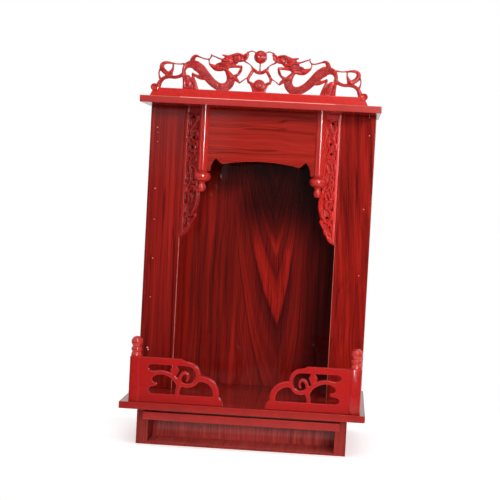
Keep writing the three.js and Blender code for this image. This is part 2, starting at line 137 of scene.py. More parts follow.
cameraData = bpy.data.cameras.new("camera")
camera = bpy.data.objects.new("camera", cameraData)
bpy.context.scene.collection.objects.link(camera)
bpy.context.scene.camera = camera
cameraTurn = (Matrix.Rotation(math.radians(cameraView["roll"]), 4, 'Y')
              @ Matrix.Rotation(math.radians(cameraView["pitch"]), 4, 'X')
              @ Matrix.Rotation(math.radians(cameraView["yaw"]), 4, 'Z')
              @ Matrix.Rotation(math.radians(90), 4, 'X'))
camera.matrix_world = Matrix.Translation(cameraView["place"]) @ cameraTurn
cameraData.lens = cameraView["lens"]
cameraData.sensor_width = 36
cameraData.shift_x, cameraData.shift_y = cameraView["shift"]
print("camera set")


# studio: pale floor that fades into a pale room, soft lights

studio = {
    "floorRadius": 2.2,      # metres
    "fadeFrom": 0.3,
    "fadeTo": 0.75,
    "floorGlow": 0.42,
    "roomBright": 0.8,       # what lies behind and above the cabinet
    "roomDim": 0.045,        # the unlit room behind the camera
}
lamps = [
    # name, place, looks at, width, height, power in watts, spread in degrees
    ("soft_box_right_front", (0.92, -2.45, 1.0), (0.06, 0, 1.04), 0.42, 0.34, 4.0, 49),
    ("flash_by_camera", (0.52, -2.65, 0.64), (0.09, 0, 0.95), 0.16, 0.52, 2.1, 51),
    ("strip_right", (1.12, -0.9, 0.5), (0, 0, 0.5), 0.35, 0.9, 3.2, 180),
    ("strip_left_glint", (-1.5, -0.85, 0.4), (0, 0, 0.3), 0.25, 0.6, 1.0, 180),
    ("strip_camera_glint", (0.57, -2.66, 0.6), (0.06, 0, 0.6), 0.42, 0.66, 11.0, 180),
    ("grey_wall_left", (-1.3, -2.7, 1.42), (-1.3, 0, 1.42), 2.0, 1.9, 1.5, 180),
    ("grey_wall_left_middle", (-1.26, -2.72, 1.51), (-1.26, 0, 1.51), 2.0, 1.9, 1.6, 180),
    ("grey_wall_left_top", (-1.22, -2.74, 1.62), (-1.22, 0, 1.62), 2.0, 1.9, 1.7, 180),
    ("low_fill_right", (0.8, -2.3, 0.16), (0.07, -0.05, 0.06), 0.3, 0.2, 0.16, 20),
    ("window_above_glint", (0.2, -1.5, 1.75), (0, 0, 0.5), 0.7, 0.4, 9.0, 180),
    ("soft_box_above", (0.0, -0.45, 1.9), (0, -0.05, 0.5), 1.2, 0.35, 3, 180),
]

bpy.context.scene.view_settings.view_transform = 'Standard'

room = bpy.data.worlds.new("pale_room")
bpy.context.scene.world = room
room.use_nodes = True
tree = room.node_tree
tree.nodes.clear()
# the room is bright behind and above the cabinet and dim behind the camera, and the camera sees it white
direction = addNode(tree, 'ShaderNodeTexCoord')
parts = addNode(tree, 'ShaderNodeSeparateXYZ', None, {0: direction.outputs['Generated']})
backward = addNode(tree, 'ShaderNodeMath', {'operation': 'MAXIMUM'},
                   {0: parts.outputs['Y'], 1: parts.outputs['Z']})
share = addNode(tree, 'ShaderNodeMapRange', {'interpolation_type': 'SMOOTHSTEP'},
                {'Value': backward.outputs[0], 'From Min': -0.08, 'From Max': 0.5,
                 'To Min': studio["roomDim"], 'To Max': studio["roomBright"]})
seen = addNode(tree, 'ShaderNodeLightPath')
strength = addNode(tree, 'ShaderNodeMath', {'operation': 'MAXIMUM'},
                   {0: share.outputs[0], 1: seen.outputs['Is Camera Ray']})
glow = addNode(tree, 'ShaderNodeBackground', None,
               {'Color': (1.0, 1.0, 1.0, 1.0), 'Strength': strength.outputs[0]})
addNode(tree, 'ShaderNodeOutputWorld', None, {'Surface': glow.outputs[0]})

clearSelection()
bpy.ops.mesh.primitive_circle_add(vertices=96, radius=studio["floorRadius"], fill_type='NGON')
floor = bpy.context.object
floor.name = "floor"
paleFloor = bpy.data.materials.new("paleStudioFloor")
paleFloor.use_nodes = True
tree = paleFloor.node_tree
tree.nodes.clear()
place = addNode(tree, 'ShaderNodeTexCoord')
distance = addNode(tree, 'ShaderNodeVectorMath', {'operation': 'LENGTH'}, {0: place.outputs['Object']})
fade = addNode(tree, 'ShaderNodeMapRange', {'interpolation_type': 'SMOOTHSTEP'},
               {'Value': distance.outputs['Value'], 'From Min': studio["fadeFrom"],
                'From Max': studio["fadeTo"], 'To Min': 0.0, 'To Max': 1.0})
paper = addNode(tree, 'ShaderNodeBsdfDiffuse', None, {'Color': (0.9, 0.9, 0.9, 1.0)})
lit = addNode(tree, 'ShaderNodeEmission', None,
              {'Color': (1.0, 1.0, 1.0, 1.0), 'Strength': studio["floorGlow"]})
pale = addNode(tree, 'ShaderNodeAddShader', None, {0: paper.outputs[0], 1: lit.outputs[0]})
clear = addNode(tree, 'ShaderNodeBsdfTransparent')
blend = addNode(tree, 'ShaderNodeMixShader', None,
                {'Fac': fade.outputs[0], 1: pale.outputs[0], 2: clear.outputs[0]})
addNode(tree, 'ShaderNodeOutputMaterial', None, {'Surface': blend.outputs[0]})
floor.data.materials.append(paleFloor)

for name, spot, aim, width, height, power, spread in lamps:
    data = bpy.data.lights.new(name, 'AREA')
    data.shape = 'RECTANGLE'
    data.size, data.size_y, data.energy, data.spread = width, height, power, math.radians(spread)
    lamp = bpy.data.objects.new(name, data)
    bpy.context.scene.collection.objects.link(lamp)
    lamp.location = spot
    lamp.rotation_euler = (Vector(aim) - Vector(spot)).to_track_quat('-Z', 'Y').to_euler()
    lamp.visible_camera = False
    # the glint lamps only draw highlights on the turned and rounded parts
    lamp.visible_diffuse = not name.endswith("glint")
    lamp.visible_glossy = name not in ("low_fill_right", "strip_right")
print("studio lit")


# materials

def newShader(name):
    material = bpy.data.materials.new(name)
    material.use_nodes = True
    material.node_tree.nodes.clear()
    return material, material.node_tree


def closeShader(tree, links, settings):
    # the shader's own sockets hold what is the same all over
    shader = addNode(tree, 'ShaderNodeBsdfPrincipled', None, {**settings, **links})
    addNode(tree, 'ShaderNodeOutputMaterial', None, {'Surface': shader})


grainTurns = {"Z": (0, 0, 0), "X": (0, math.radians(90), 0), "Y": (math.radians(90), 0, 0)}
eased = {'interpolation_type': 'SMOOTHSTEP'}
colours = {'data_type': 'RGBA'}
darken = {'data_type': 'RGBA', 'blend_type': 'MULTIPLY'}
larger = {'operation': 'MAXIMUM'}
times = {'operation': 'MULTIPLY'}
timesPlus = {'operation': 'MULTIPLY_ADD'}


def grainPlace(tree, look):
    # object coordinates turned so that the grain runs along z, then bent sideways a little
    place = addNode(tree, 'ShaderNodeTexCoord')
    turn = Vector(grainTurns[look["along"]]) + Vector((0, math.radians(look["tilt"]), 0))
    turned = addNode(tree, 'ShaderNodeMapping', None,
                     {'Vector': place.outputs['Object'], 'Location': Vector(look["shift"]) * mm,
                      'Rotation': turn})
    slow = addNode(tree, 'ShaderNodeMapping', None,
                   {'Vector': turned,
                    'Scale': (1 / (look["swingWidth"] * mm),) * 2 + (1 / (look["swingLength"] * mm),)})
    sway = addNode(tree, 'ShaderNodeTexNoise', None, {'Vector': slow, 'Scale': 1.0, 'Detail': 1.0})
    centred = addNode(tree, 'ShaderNodeVectorMath', {'operation': 'SUBTRACT'},
                      {0: sway.outputs['Color'], 1: (0.5, 0.5, 0.5)})
    return addNode(tree, 'ShaderNodeVectorMath', timesPlus,
                   {0: centred, 1: (look["swing"] * mm, look["swing"] * mm, 0.0), 2: turned})


def streaks(tree, vector, width, length, detail):
    # long noise: width across the grain and length along it, in millimetres
    stretched = addNode(tree, 'ShaderNodeMapping', None,
                        {'Vector': vector, 'Scale': (1 / (width * mm),) * 2 + (1 / (length * mm),)})
    return addNode(tree, 'ShaderNodeTexNoise', None,
                   {'Vector': stretched, 'Scale': 1.0, 'Detail': detail, 'Roughness': 0.55})


def rosewoodFilm(name, look):
    # red rosewood print under a clear glossy film, pressed on board: sharp reflections over a flat print
    material, tree = newShader(name)
    bent = grainPlace(tree, look)
    broad = streaks(tree, bent, look["streak"], look["length"], 3.0)
    fine = streaks(tree, bent, look["fine"], look["length"] * 0.35, 2.0)
    tone = addNode(tree, 'ShaderNodeMix', {'data_type': 'FLOAT'}, {0: look["fineShare"], 2: broad, 3: fine})
    ramp = setRamp(addNode(tree, 'ShaderNodeValToRGB', None, {'Fac': tone}), look["print"])
    # thin dark veins lie where a long noise crosses its middle value
    vein = streaks(tree, bent, look["veinGap"], look["length"] * 1.6, 1.0)
    offMiddle = addNode(tree, 'ShaderNodeMath', {'operation': 'SUBTRACT'}, {0: vein, 1: 0.5})
    thin = addNode(tree, 'ShaderNodeMath', {'operation': 'ABSOLUTE'}, {0: offMiddle})
    line = addNode(tree, 'ShaderNodeMapRange', eased,
                   {'Value': thin, 'From Min': 0.0, 'From Max': look["veinWidth"],
                    'To Min': look["veinDepth"], 'To Max': 0.0})
    veined = addNode(tree, 'ShaderNodeMix', darken, {0: line, 6: ramp, 7: hexColour(look["vein"])})
    # painted shade: the print is darkened towards one end of a board, where shade falls
    low, high, tint = look["paintedShade"]
    height = addNode(tree, 'ShaderNodeSeparateXYZ', None, {0: bent}).outputs['Z']
    shadeShare = addNode(tree, 'ShaderNodeMapRange', eased,
                   {'Value': height, 'From Min': low * mm, 'From Max': high * mm, 'To Min': 1.0, 'To Max': 0.0})
    withPaintedShade = addNode(tree, 'ShaderNodeMix', darken, {0: shadeShare, 6: veined.outputs[2], 7: hexColour(tint)})
    closeShader(tree, {'Base Color': withPaintedShade.outputs[2]},
                {'Roughness': look["roughness"], 'Coat Weight': look["coat"],
                 'Coat Roughness': look["coatRoughness"], 'Specular IOR Level': 0.01})
    return material


# sizes in mm. print: tones from vein to light grain. paintedShade: where the painted shade is full, where it
# ends, and its tint
filmLook = {
    "along": "Z", "tilt": 0.0, "shift": (0, 0, 0), "swing": 10.0, "swingWidth": 90.0, "swingLength": 260.0,
    "streak": 8.0, "length": 420.0, "fine": 1.7, "fineShare": 0.5,
    "print": [[0.30, "4c0c0a"], [0.42, "741410"], [0.54, "9c1e17"], [0.68, "b6261c"]],
    "veinGap": 12.0, "veinWidth": 0.018, "veinDepth": 0.6, "vein": "5a2a26",
    "roughness": 0.6, "coat": 0.8, "coatRoughness": 0.035, "paintedShade": (-900, -800, "ffffff"),
}
# upright grain, darker towards the bottom: painted shade where the light falls off
leftStileFilm = rosewoodFilm("rosewoodFilmLeftStile", {
    **filmLook, "shift": (31, 0, 80), "swing": 9.0, "streak": 10.0,
    "print": [[0.32, "5a0e0b"], [0.42, "781511"], [0.54, "901c16"], [0.66, "a4231b"]],
    "paintedShade": (180, 480, "d8d4d4")})
# the liveliest grain, leaning and wavy
rightStileFilm = rosewoodFilm("rosewoodFilmRightStile", {
    **filmLook, "tilt": 4.0, "shift": (-12, 0, -40), "swing": 15.0, "swingWidth": 70.0, "swingLength": 170.0,
    "length": 240.0, "fineShare": 0.42,
    "print": [[0.35, "5c0d0a"], [0.44, "78120d"], [0.54, "901912"], [0.64, "a82017"]],
    "veinDepth": 0.35, "coat": 0.6})
# brighter print with long waves across the board
apronFilm = rosewoodFilm("rosewoodFilmApron", {
    **filmLook, "along": "X", "shift": (0, 0, 140), "swing": 9.0, "swingWidth": 45.0, "swingLength": 120.0,
    "streak": 7.0, "length": 330.0, "fine": 2.0, "fineShare": 0.38,
    "print": [[0.32, "81190f"], [0.42, "921f15"], [0.54, "a4241a"], [0.66, "b0281e"]],
    "veinWidth": 0.02, "veinDepth": 0.55})
sideFilm = rosewoodFilm("rosewoodFilmSides", {**filmLook, "shift": (60, 20, 10)})
deckFilm = rosewoodFilm("rosewoodFilmDeck", {**filmLook, "along": "X", "shift": (0, 50, 0), "length": 600.0})
# duller and browner, as the lowest boards are
plinthFilm = rosewoodFilm("rosewoodFilmPlinth", {
    **filmLook, "shift": (90, 0, 0), "streak": 7.0,
    "print": [[0.32, "5c1512"], [0.44, "7c1e19"], [0.56, "8e241e"], [0.68, "9e2a23"]],
    "veinDepth": 0.45, "coat": 0.3})
# painted light and shade: a paler copy of the plinth print, brightened against the shade of the recess, with
# painted shadow below the rail
recessFilm = rosewoodFilm("rosewoodFilmRecess", {
    **filmLook, "shift": (40, 0, 30), "streak": 7.0, "length": 120.0, "paintedShade": (68, 48, "5c4a4a"),
    "print": [[0.32, "8a2c27"], [0.44, "aa3732"], [0.56, "c0443d"], [0.68, "d05048"]],
    "veinDepth": 0.45, "coat": 0.5})
# painted light: the recess floor's print made paler still, brightened against the shade of the recess
recessFloorFilm = rosewoodFilm("rosewoodFilmRecessFloor", {
    **filmLook, "along": "Y", "shift": (40, 0, 30), "streak": 7.0, "coatRoughness": 0.02,
    "print": [[0.28, "cc4a42"], [0.44, "dc574e"], [0.58, "e6645a"], [0.72, "ee7065"]], "veinDepth": 0.3})


def cathedralFilm(name, look):
    # the same print cut through a cathedral figure: nested arrowheads that point down, darker at the right,
    # with painted shade across the top and under the apron
    material, tree = newShader(name)
    bent = grainPlace(tree, look)
    inMillimetres = addNode(tree, 'ShaderNodeVectorMath', {'operation': 'SCALE'}, {0: bent, 'Scale': 1 / mm})
    parts = addNode(tree, 'ShaderNodeSeparateXYZ', None, {0: inMillimetres})
    across, height = parts.outputs['X'], parts.outputs['Z']
    # the figure's middle line leans to the left as it rises, and its right arm is the steeper one
    leaning = addNode(tree, 'ShaderNodeMath', timesPlus,
                      {0: height, 1: look["lean"], 2: -look["middle"] - look["leanHeight"] * look["lean"]})
    aside = addNode(tree, 'ShaderNodeMath', {'operation': 'ADD'}, {0: leaning, 1: across})
    rightArm = addNode(tree, 'ShaderNodeMath', times, {0: aside, 1: look["rightSteep"]})
    leftArm = addNode(tree, 'ShaderNodeMath', times, {0: aside, 1: -1.0})
    away = addNode(tree, 'ShaderNodeMath', larger, {0: rightArm, 1: leftArm})
    cubed = addNode(tree, 'ShaderNodeMath', {'operation': 'POWER'}, {0: away, 1: 3.0})
    flared = addNode(tree, 'ShaderNodeMath', times, {0: cubed, 1: look["flare"]})
    rise = addNode(tree, 'ShaderNodeMath', timesPlus, {0: away, 1: look["slope"], 2: flared})
    ring = addNode(tree, 'ShaderNodeMath', {'operation': 'SUBTRACT'}, {0: height, 1: rise})
    ringCount = addNode(tree, 'ShaderNodeMath', times, {0: ring, 1: 1 / look["ringGap"]})
    bands = addNode(tree, 'ShaderNodeTexNoise', {'noise_dimensions': '1D'},
                    {'W': ringCount, 'Scale': 1.0, 'Detail': 3.0, 'Roughness': 0.6})
    coarse = streaks(tree, bent, look["streak"], look["length"], 2.0)
    fine = streaks(tree, bent, look["fine"], look["length"] * 0.5, 2.0)
    # the bands give way to straight grain away from the figure
    straight = addNode(tree, 'ShaderNodeMapRange', eased,
                       {'Value': away, 'From Min': look["straightFrom"], 'From Max': look["straightTo"]})
    body = addNode(tree, 'ShaderNodeMix', {'data_type': 'FLOAT'}, {0: straight, 2: bands, 3: coarse})
    tone = addNode(tree, 'ShaderNodeMix', {'data_type': 'FLOAT'}, {0: look["fineShare"], 2: body, 3: fine})
    printed = setRamp(addNode(tree, 'ShaderNodeValToRGB', None, {'Fac': tone}), look["print"])
    # the figure's own tones, told by the height at which each arrowhead has its point
    low, high = look["figureFrom"], look["figureTo"]
    stops = [[(place - low) / (high - low), colour] for place, colour in look["figure"]]
    rag = addNode(tree, 'ShaderNodeMath', timesPlus,
                  {0: fine, 1: look["raggedness"], 2: -look["raggedness"] / 2})
    wavy = addNode(tree, 'ShaderNodeMath', {'operation': 'ADD'}, {0: ring, 1: rag})
    level = addNode(tree, 'ShaderNodeMath', timesPlus, {0: wavy, 1: 1 / (high - low), 2: -low / (high - low)})
    figureAndShadeTone = setRamp(addNode(tree, 'ShaderNodeValToRGB', None, {'Fac': level}), stops)
    pores = addNode(tree, 'ShaderNodeMapRange', eased,
                    {'Value': fine, 'From Min': 0.62, 'From Max': 0.3, 'To Max': look["poreShare"]})
    grained = addNode(tree, 'ShaderNodeMix', darken, {0: pores, 6: figureAndShadeTone, 7: hexColour(look["pore"])})
    # where the figure shows: not at its foot, its far sides, its arms' ends and the top
    inside = addNode(tree, 'ShaderNodeMapRange', eased,
                     {'Value': ring, 'From Min': low, 'From Max': low + 50, 'To Max': look["figureShare"]})
    for socket, start, end, least in ((away, look["straightTo"], look["straightFrom"], None),
                                      (away, look["armFrom"], look["armTo"], 0.3),
                                      (height, look["fadeFrom"], look["fadeTo"], 0.12)):
        ends = {'To Min': 0.0, 'To Max': 1.0} if least is None else {'To Min': 1.0, 'To Max': least}
        kept = addNode(tree, 'ShaderNodeMapRange', eased,
                       {'Value': socket, 'From Min': start, 'From Max': end, **ends})
        inside = addNode(tree, 'ShaderNodeMath', times, {0: inside, 1: kept})
    both = addNode(tree, 'ShaderNodeMix', colours, {0: inside, 6: printed, 7: grained.outputs[2]})
    # darker along the right edge, painted shade across the top, which the apron half hides, and a band of
    # painted shadow just under the apron
    dark = addNode(tree, 'ShaderNodeMapRange', eased,
                   {'Value': across, 'From Min': look["rightDarkFrom"], 'From Max': look["rightDarkTo"],
                    'To Max': look["rightDarkShare"]})
    upper = addNode(tree, 'ShaderNodeMapRange', eased,
                    {'Value': height, 'From Min': look["topFrom"], 'From Max': look["topTo"],
                     'To Max': look["topShare"]})
    rightward = addNode(tree, 'ShaderNodeMapRange', eased,
                        {'Value': across, 'From Min': look["topLeft"], 'From Max': look["topRight"]})
    upper = addNode(tree, 'ShaderNodeMath', times, {0: upper, 1: rightward})
    brim = addNode(tree, 'ShaderNodeMapRange', eased,
                   {'Value': height, 'From Min': look["brimFrom"], 'From Max': look["brimTo"],
                    'To Max': look["brimShare"]})
    for zone in (upper, brim):
        dark = addNode(tree, 'ShaderNodeMath', larger, {0: dark, 1: zone})
    whole = addNode(tree, 'ShaderNodeMix', darken, {0: dark, 6: both.outputs[2], 7: hexColour(look["figureAndShadeTone"])})
    closeShader(tree, {'Base Color': whole.outputs[2]},
                {'Roughness': look["roughness"], 'Coat Weight': look["coat"],
                 'Coat Roughness': look["coatRoughness"], 'Specular IOR Level': 0.01})
    return material


# the niche's back: high gloss over a dark red print with one big figure. places and sizes in mm
backFilm = cathedralFilm("rosewoodFilmPolishedBack", {
    "along": "Z", "tilt": 0.0, "shift": (0, 0, 0), "swing": 7.0, "swingWidth": 60.0, "swingLength": 110.0,
    "middle": 40.0, "lean": 0.064, "leanHeight": 200.0, "rightSteep": 1.4, "slope": 2.4, "flare": 0.00042,
    "ringGap": 34.0, "streak": 9.0, "fine": 1.8, "length": 300.0, "fineShare": 0.35, "raggedness": 14.0,
    "straightFrom": 62.0, "straightTo": 90.0, "armFrom": 36.0, "armTo": 54.0, "poreShare": 0.7,
    "pore": "8a5a55",
    "print": [[0.30, "420b09"], [0.43, "66110d"], [0.55, "84170f"], [0.68, "9c1d14"]],
    "figureFrom": 90.0, "figureTo": 410.0, "figureShare": 0.92,
    "figure": [[90, "741512"], [117, "8e1b15"], [136, "6a1310"], [162, "5f110f"], [187, "4a0c0b"],
               [199, "a41d15"], [232, "b02117"], [262, "9c1b13"], [279, "6c120e"], [300, "7c1611"],
               [318, "851812"], [327, "b82419"], [342, "a61f16"], [356, "6a120e"], [380, "4a0e0b"],
               [410, "400c0a"]],
    # the right edge is darker; top and brim lay painted shade across the top and painted shadow under the
    # apron, all in one tint
    "fadeFrom": 318.0, "fadeTo": 400.0, "rightDarkFrom": 66.0, "rightDarkTo": 102.0, "rightDarkShare": 0.72,
    "figureAndShadeTone": "5a3a36",
    "topFrom": 318.0, "topTo": 420.0, "topShare": 0.9, "topLeft": -75.0, "topRight": -15.0,
    "brimFrom": 412.0, "brimTo": 462.0, "brimShare": 0.8,
    "roughness": 0.5, "coat": 1.0, "coatRoughness": 0.03,
})


def plainShader(name, colour, settings, grain):
    # one colour broken by a faint cloud, so that it never reads as flat paint
    material, tree = newShader(name)
    place = addNode(tree, 'ShaderNodeTexCoord')
    cloud = addNode(tree, 'ShaderNodeTexNoise', None,
                    {'Vector': place.outputs['Object'], 'Scale': 1 / (grain["size"] * mm), 'Detail': 3.0})
    share = addNode(tree, 'ShaderNodeMapRange', None,
                    {'Value': cloud, 'From Min': 0.35, 'From Max': 0.7, 'To Min': 0.0,
                     'To Max': grain["share"]})
    mixed = addNode(tree, 'ShaderNodeMix', colours,
                    {0: share, 6: hexColour(colour), 7: hexColour(grain["tint"])})
    bump = addNode(tree, 'ShaderNodeBump', None, {'Height': cloud, 'Strength': 0.12, 'Distance': 0.2 * mm})
    closeShader(tree, {'Base Color': mixed.outputs[2], 'Normal': bump}, settings)
    return material


def lacquerShader(name, look):
    # thick glossy lacquer, darkened in the hollows of the carving by painted shade
    material, tree = newShader(name)
    place = addNode(tree, 'ShaderNodeTexCoord')
    cloud = addNode(tree, 'ShaderNodeTexNoise', None,
                    {'Vector': place.outputs['Object'], 'Scale': 1 / (look["cloud"] * mm), 'Detail': 3.0})
    faint = addNode(tree, 'ShaderNodeMapRange', eased,
                    {'Value': cloud, 'From Min': 0.4, 'From Max': 0.7, 'To Max': look["cloudShare"]})
    tinted = addNode(tree, 'ShaderNodeMix', colours,
                     {0: faint, 6: hexColour(look["colour"]), 7: hexColour(look["hollow"])})
    shape = addNode(tree, 'ShaderNodeNewGeometry')
    dips = addNode(tree, 'ShaderNodeMapRange', eased,
                   {'Value': shape.outputs['Pointiness'], 'From Min': look["creasePointiness"][0],
                    'From Max': look["creasePointiness"][1], 'To Max': look["share"]})
    cut = addNode(tree, 'ShaderNodeAttribute', {'attribute_name': "creaseShade"})
    grooves = addNode(tree, 'ShaderNodeMath', times, {0: cut.outputs['Fac'], 1: look["share"]})
    zones = [grooves]
    # painted shade on the sunken ground, by depth
    if look["ground"]:
        near, far, share = look["ground"]
        depth = addNode(tree, 'ShaderNodeSeparateXYZ', None, {0: place.outputs['Object']}).outputs['Y']
        zones.append(addNode(tree, 'ShaderNodeMapRange', eased,
                             {'Value': depth, 'From Min': near * mm, 'From Max': far * mm, 'To Max': share}))
    if look["mottle"]:
        # painted shade of the finest gouge work, too small to cut, drawn as blotches of its size
        size, share = look["mottle"]
        specks = addNode(tree, 'ShaderNodeTexNoise', None,
                         {'Vector': place.outputs['Object'], 'Scale': 1 / (size * mm), 'Detail': 2.0})
        zones.append(addNode(tree, 'ShaderNodeMapRange', eased,
                             {'Value': specks, 'From Min': 0.48, 'From Max': 0.58, 'To Max': share}))
    creaseShade = dips
    for zone in zones:
        creaseShade = addNode(tree, 'ShaderNodeMath', larger, {0: creaseShade, 1: zone})
    mixed = addNode(tree, 'ShaderNodeMix', colours,
                    {0: creaseShade, 6: tinted.outputs[2], 7: hexColour(look["hollow"])})
    bump = addNode(tree, 'ShaderNodeBump', None, {'Height': cloud, 'Strength': 0.15, 'Distance': 0.25 * mm})
    closeShader(tree, {'Base Color': mixed.outputs[2], 'Normal': bump},
                {'Roughness': 0.45, 'Specular IOR Level': 0.03, 'Coat Weight': look["coat"],
                 'Coat Roughness': look["blur"]})
    return material


def edgeHighlightShader(name, look):
    # painted highlight along an eased edge: a pale line, full along part of its length, fainter beyond it and
    # uneven
    material, tree = newShader(name)
    place = addNode(tree, 'ShaderNodeTexCoord')
    cloud = addNode(tree, 'ShaderNodeTexNoise', None,
                    {'Vector': place.outputs['Object'], 'Scale': 1 / (look["size"] * mm), 'Detail': 2.0})
    parts = addNode(tree, 'ShaderNodeSeparateXYZ', None, {0: place.outputs['Object']})
    shifted = addNode(tree, 'ShaderNodeMath', timesPlus,
                      {0: parts.outputs[look["axis"]], 1: 1 / mm, 2: look["shift"]})
    run = addNode(tree, 'ShaderNodeMath', {'operation': 'ABSOLUTE'}, {0: shifted})
    reach = addNode(tree, 'ShaderNodeMapRange', eased,
                    {'Value': run, 'From Min': look["until"], 'From Max': look["until"] + look["fade"],
                     'To Min': 1.0, 'To Max': look["beyond"]})
    uneven = addNode(tree, 'ShaderNodeMapRange', eased,
                     {'Value': cloud, 'From Min': 0.3, 'From Max': 0.6, 'To Min': look["least"], 'To Max': 1.0})
    kept = addNode(tree, 'ShaderNodeMath', times, {0: reach, 1: uneven})
    mixed = addNode(tree, 'ShaderNodeMix', colours,
                    {0: kept, 6: hexColour(look["film"]), 7: hexColour(look["paleHighlight"])})
    closeShader(tree, {'Base Color': mixed.outputs[2]},
                {'Roughness': 0.6, 'Specular IOR Level': 0.05, 'Coat Weight': 0.06, 'Coat Roughness': 0.3})
    return material


# plain red plastic tape on the top board's edges: glossy, with soft reflections
edgeTape = plainShader("glossyEdgeTape", "aa211b", {
    'Roughness': 0.5, 'Specular IOR Level': 0.1, 'Coat Weight': 0.7, 'Coat Roughness': 0.1},
    {"size": 14.0, "share": 0.35, "tint": "8c1a15"})
# painted shade: the same tape lower down, made darker where less light reaches, and a little duller
baseTape = plainShader("glossyBaseTape", "9c1a14", {
    'Roughness': 0.5, 'Specular IOR Level': 0.1, 'Coat Weight': 0.5, 'Coat Roughness': 0.1},
    {"size": 14.0, "share": 0.4, "tint": "78130f"})
# pale matt filler in the nail holes
paleMark = plainShader("paleNailFiller", "e2b9a8", {'Roughness': 0.5},
                       {"size": 1.5, "share": 0.5, "tint": "c07868"})
# painted highlight: pale lines along the eased edges, nearly matt
stileEdge = edgeHighlightShader("paintedHighlightStileEdge", {
    "size": 24.0, "axis": "Z", "shift": 0.0, "until": 345.0, "fade": 40.0, "beyond": 0.3, "least": 0.55,
    "film": "8c2620", "paleHighlight": "c4655c"})
topEdge = edgeHighlightShader("paintedHighlightTopBoardEdge", {
    "size": 30.0, "axis": "X", "shift": 5.0, "until": 132.0, "fade": 5.0, "beyond": 0.25, "least": 0.75,
    "film": "b4231c", "paleHighlight": "f0a49a"})

# red gloss lacquer over moulded pieces, with painted shade in its hollows. creasePointiness: pointiness from
# flat to hollow, ground: depths in mm and share,
# mottle: size in mm and share
lacquerLook = {
    "colour": "ac1b1a", "hollow": "6e0f0d", "share": 0.5, "coat": 0.6, "blur": 0.12, "cloud": 7.0,
    "cloudShare": 0.16, "creasePointiness": (0.495, 0.44), "ground": None, "mottle": None,
}
lacquer = lacquerShader("redGlossLacquer", lacquerLook)
# brighter, with the crispest reflections, on the columns and the finials
turnedLacquer = lacquerShader("redGlossLacquerTurned", {
    **lacquerLook, "colour": "c02a22", "hollow": "7a120f", "coat": 1.0, "blur": 0.09})
# the dragons: bright tops over hollows darkened nearly to black by painted shade
carvedLacquer = lacquerShader("redGlossLacquerCarved", {
    **lacquerLook, "colour": "c4231d", "hollow": "4a0808", "share": 0.95, "coat": 0.5,
    "ground": (-82.2, -78.5, 0.4), "creasePointiness": (0.5, 0.455), "mottle": (3.4, 0.6)})
railLacquer = lacquerShader("redGlossLacquerRail", {**lacquerLook, "colour": "be201a", "coat": 0.5})
# softer reflections on the brackets, with painted shade on their sunken ground; the left one is a darker copy,
# painted shade
bracketLacquer = lacquerShader("redGlossLacquerBracket", {
    **lacquerLook, "colour": "cc241d", "hollow": "84110d", "share": 0.75, "coat": 0.24, "blur": 0.2,
    "ground": (21.6, 24.4, 0.45)})
shadedLacquer = lacquerShader("redGlossLacquerShaded", {
    **lacquerLook, "colour": "961c18", "hollow": "4c120f", "share": 0.8, "coat": 0.2, "blur": 0.2,
    "ground": (21.4, 24.4, 0.6)})
print("materials mixed")


# boards: each a cube taken to its size, edges eased, edge faces taped

boardEase = {"width": 0.6, "segments": 2}


def addBoard(name, film, tape=None, tapeSides=(), ease=boardEase):
    low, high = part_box(name)
    clearSelection()
    bpy.ops.mesh.primitive_cube_add(size=1, location=(low + high) / 2, scale=high - low)
    board = bpy.context.object
    board.name = board.data.name = name + "_film"
    bpy.ops.object.transform_apply(location=True, rotation=True, scale=True)
    useModifier(board, 'BEVEL', {"width": ease["width"] * mm, "segments": ease["segments"],
                                 "limit_method": 'NONE', "harden_normals": False})
    finishPiece(board, [name], [film] + ([tape] if tape else []), smooth=50)
    useModifier(board, 'WEIGHTED_NORMAL', {"mode": 'FACE_AREA', "weight": 100, "keep_sharp": True})
    for face in board.data.polygons:
        if any(face.normal.dot(Vector(side)) > 0.5 for side in tapeSides):
            face.material_index = 1
    return board


def paintEdgeHighlight(board, material, test):
    # the eased strip of an edge that carries the painted highlight
    board.data.materials.append(material)
    index = len(board.data.materials) - 1
    for face in board.data.polygons:
        if test(face.center, face.normal):
            face.material_index = index


frontAndEnds = [(0, -1, 0), (1, 0, 0), (-1, 0, 0)]
backAndEnds = [(0, 1, 0), (1, 0, 0), (-1, 0, 0)]
addBoard("base_board", deckFilm, baseTape, frontAndEnds, {"width": 0.9, "segments": 3})
topBoard = addBoard("top_board", deckFilm, edgeTape, frontAndEnds,
                    {"width": 1.1, "segments": 3})
leftStile = addBoard("left_stile", leftStileFilm, ease={"width": 1.3, "segments": 2})
rightStile = addBoard("right_stile", rightStileFilm, ease={"width": 1.3, "segments": 2})
paintEdgeHighlight(topBoard, topEdge, lambda centre, normal: normal.z > 0.2 and normal.y < -0.2)
nicheSide = 142.5 * mm
for stile in (leftStile, rightStile):
    paintEdgeHighlight(stile, stileEdge,
            lambda centre, normal: abs(centre.x) < nicheSide and normal.y < -0.2 and abs(normal.x) > 0.2)
addBoard("left_side", sideFilm)
addBoard("right_side", sideFilm)
addBoard("back_panel", backFilm, sideFilm, backAndEnds)
addBoard("plinth_left", plinthFilm)
addBoard("plinth_right", plinthFilm)
addBoard("plinth_floor", recessFloorFilm, plinthFilm, [(0, -1, 0)],
         {"width": 0.3, "segments": 2})
addBoard("plinth_front", recessFilm)
addBoard("plinth_back", plinthFilm)
addBoard("under_rail", baseTape, ease={"width": 1.4, "segments": 3})

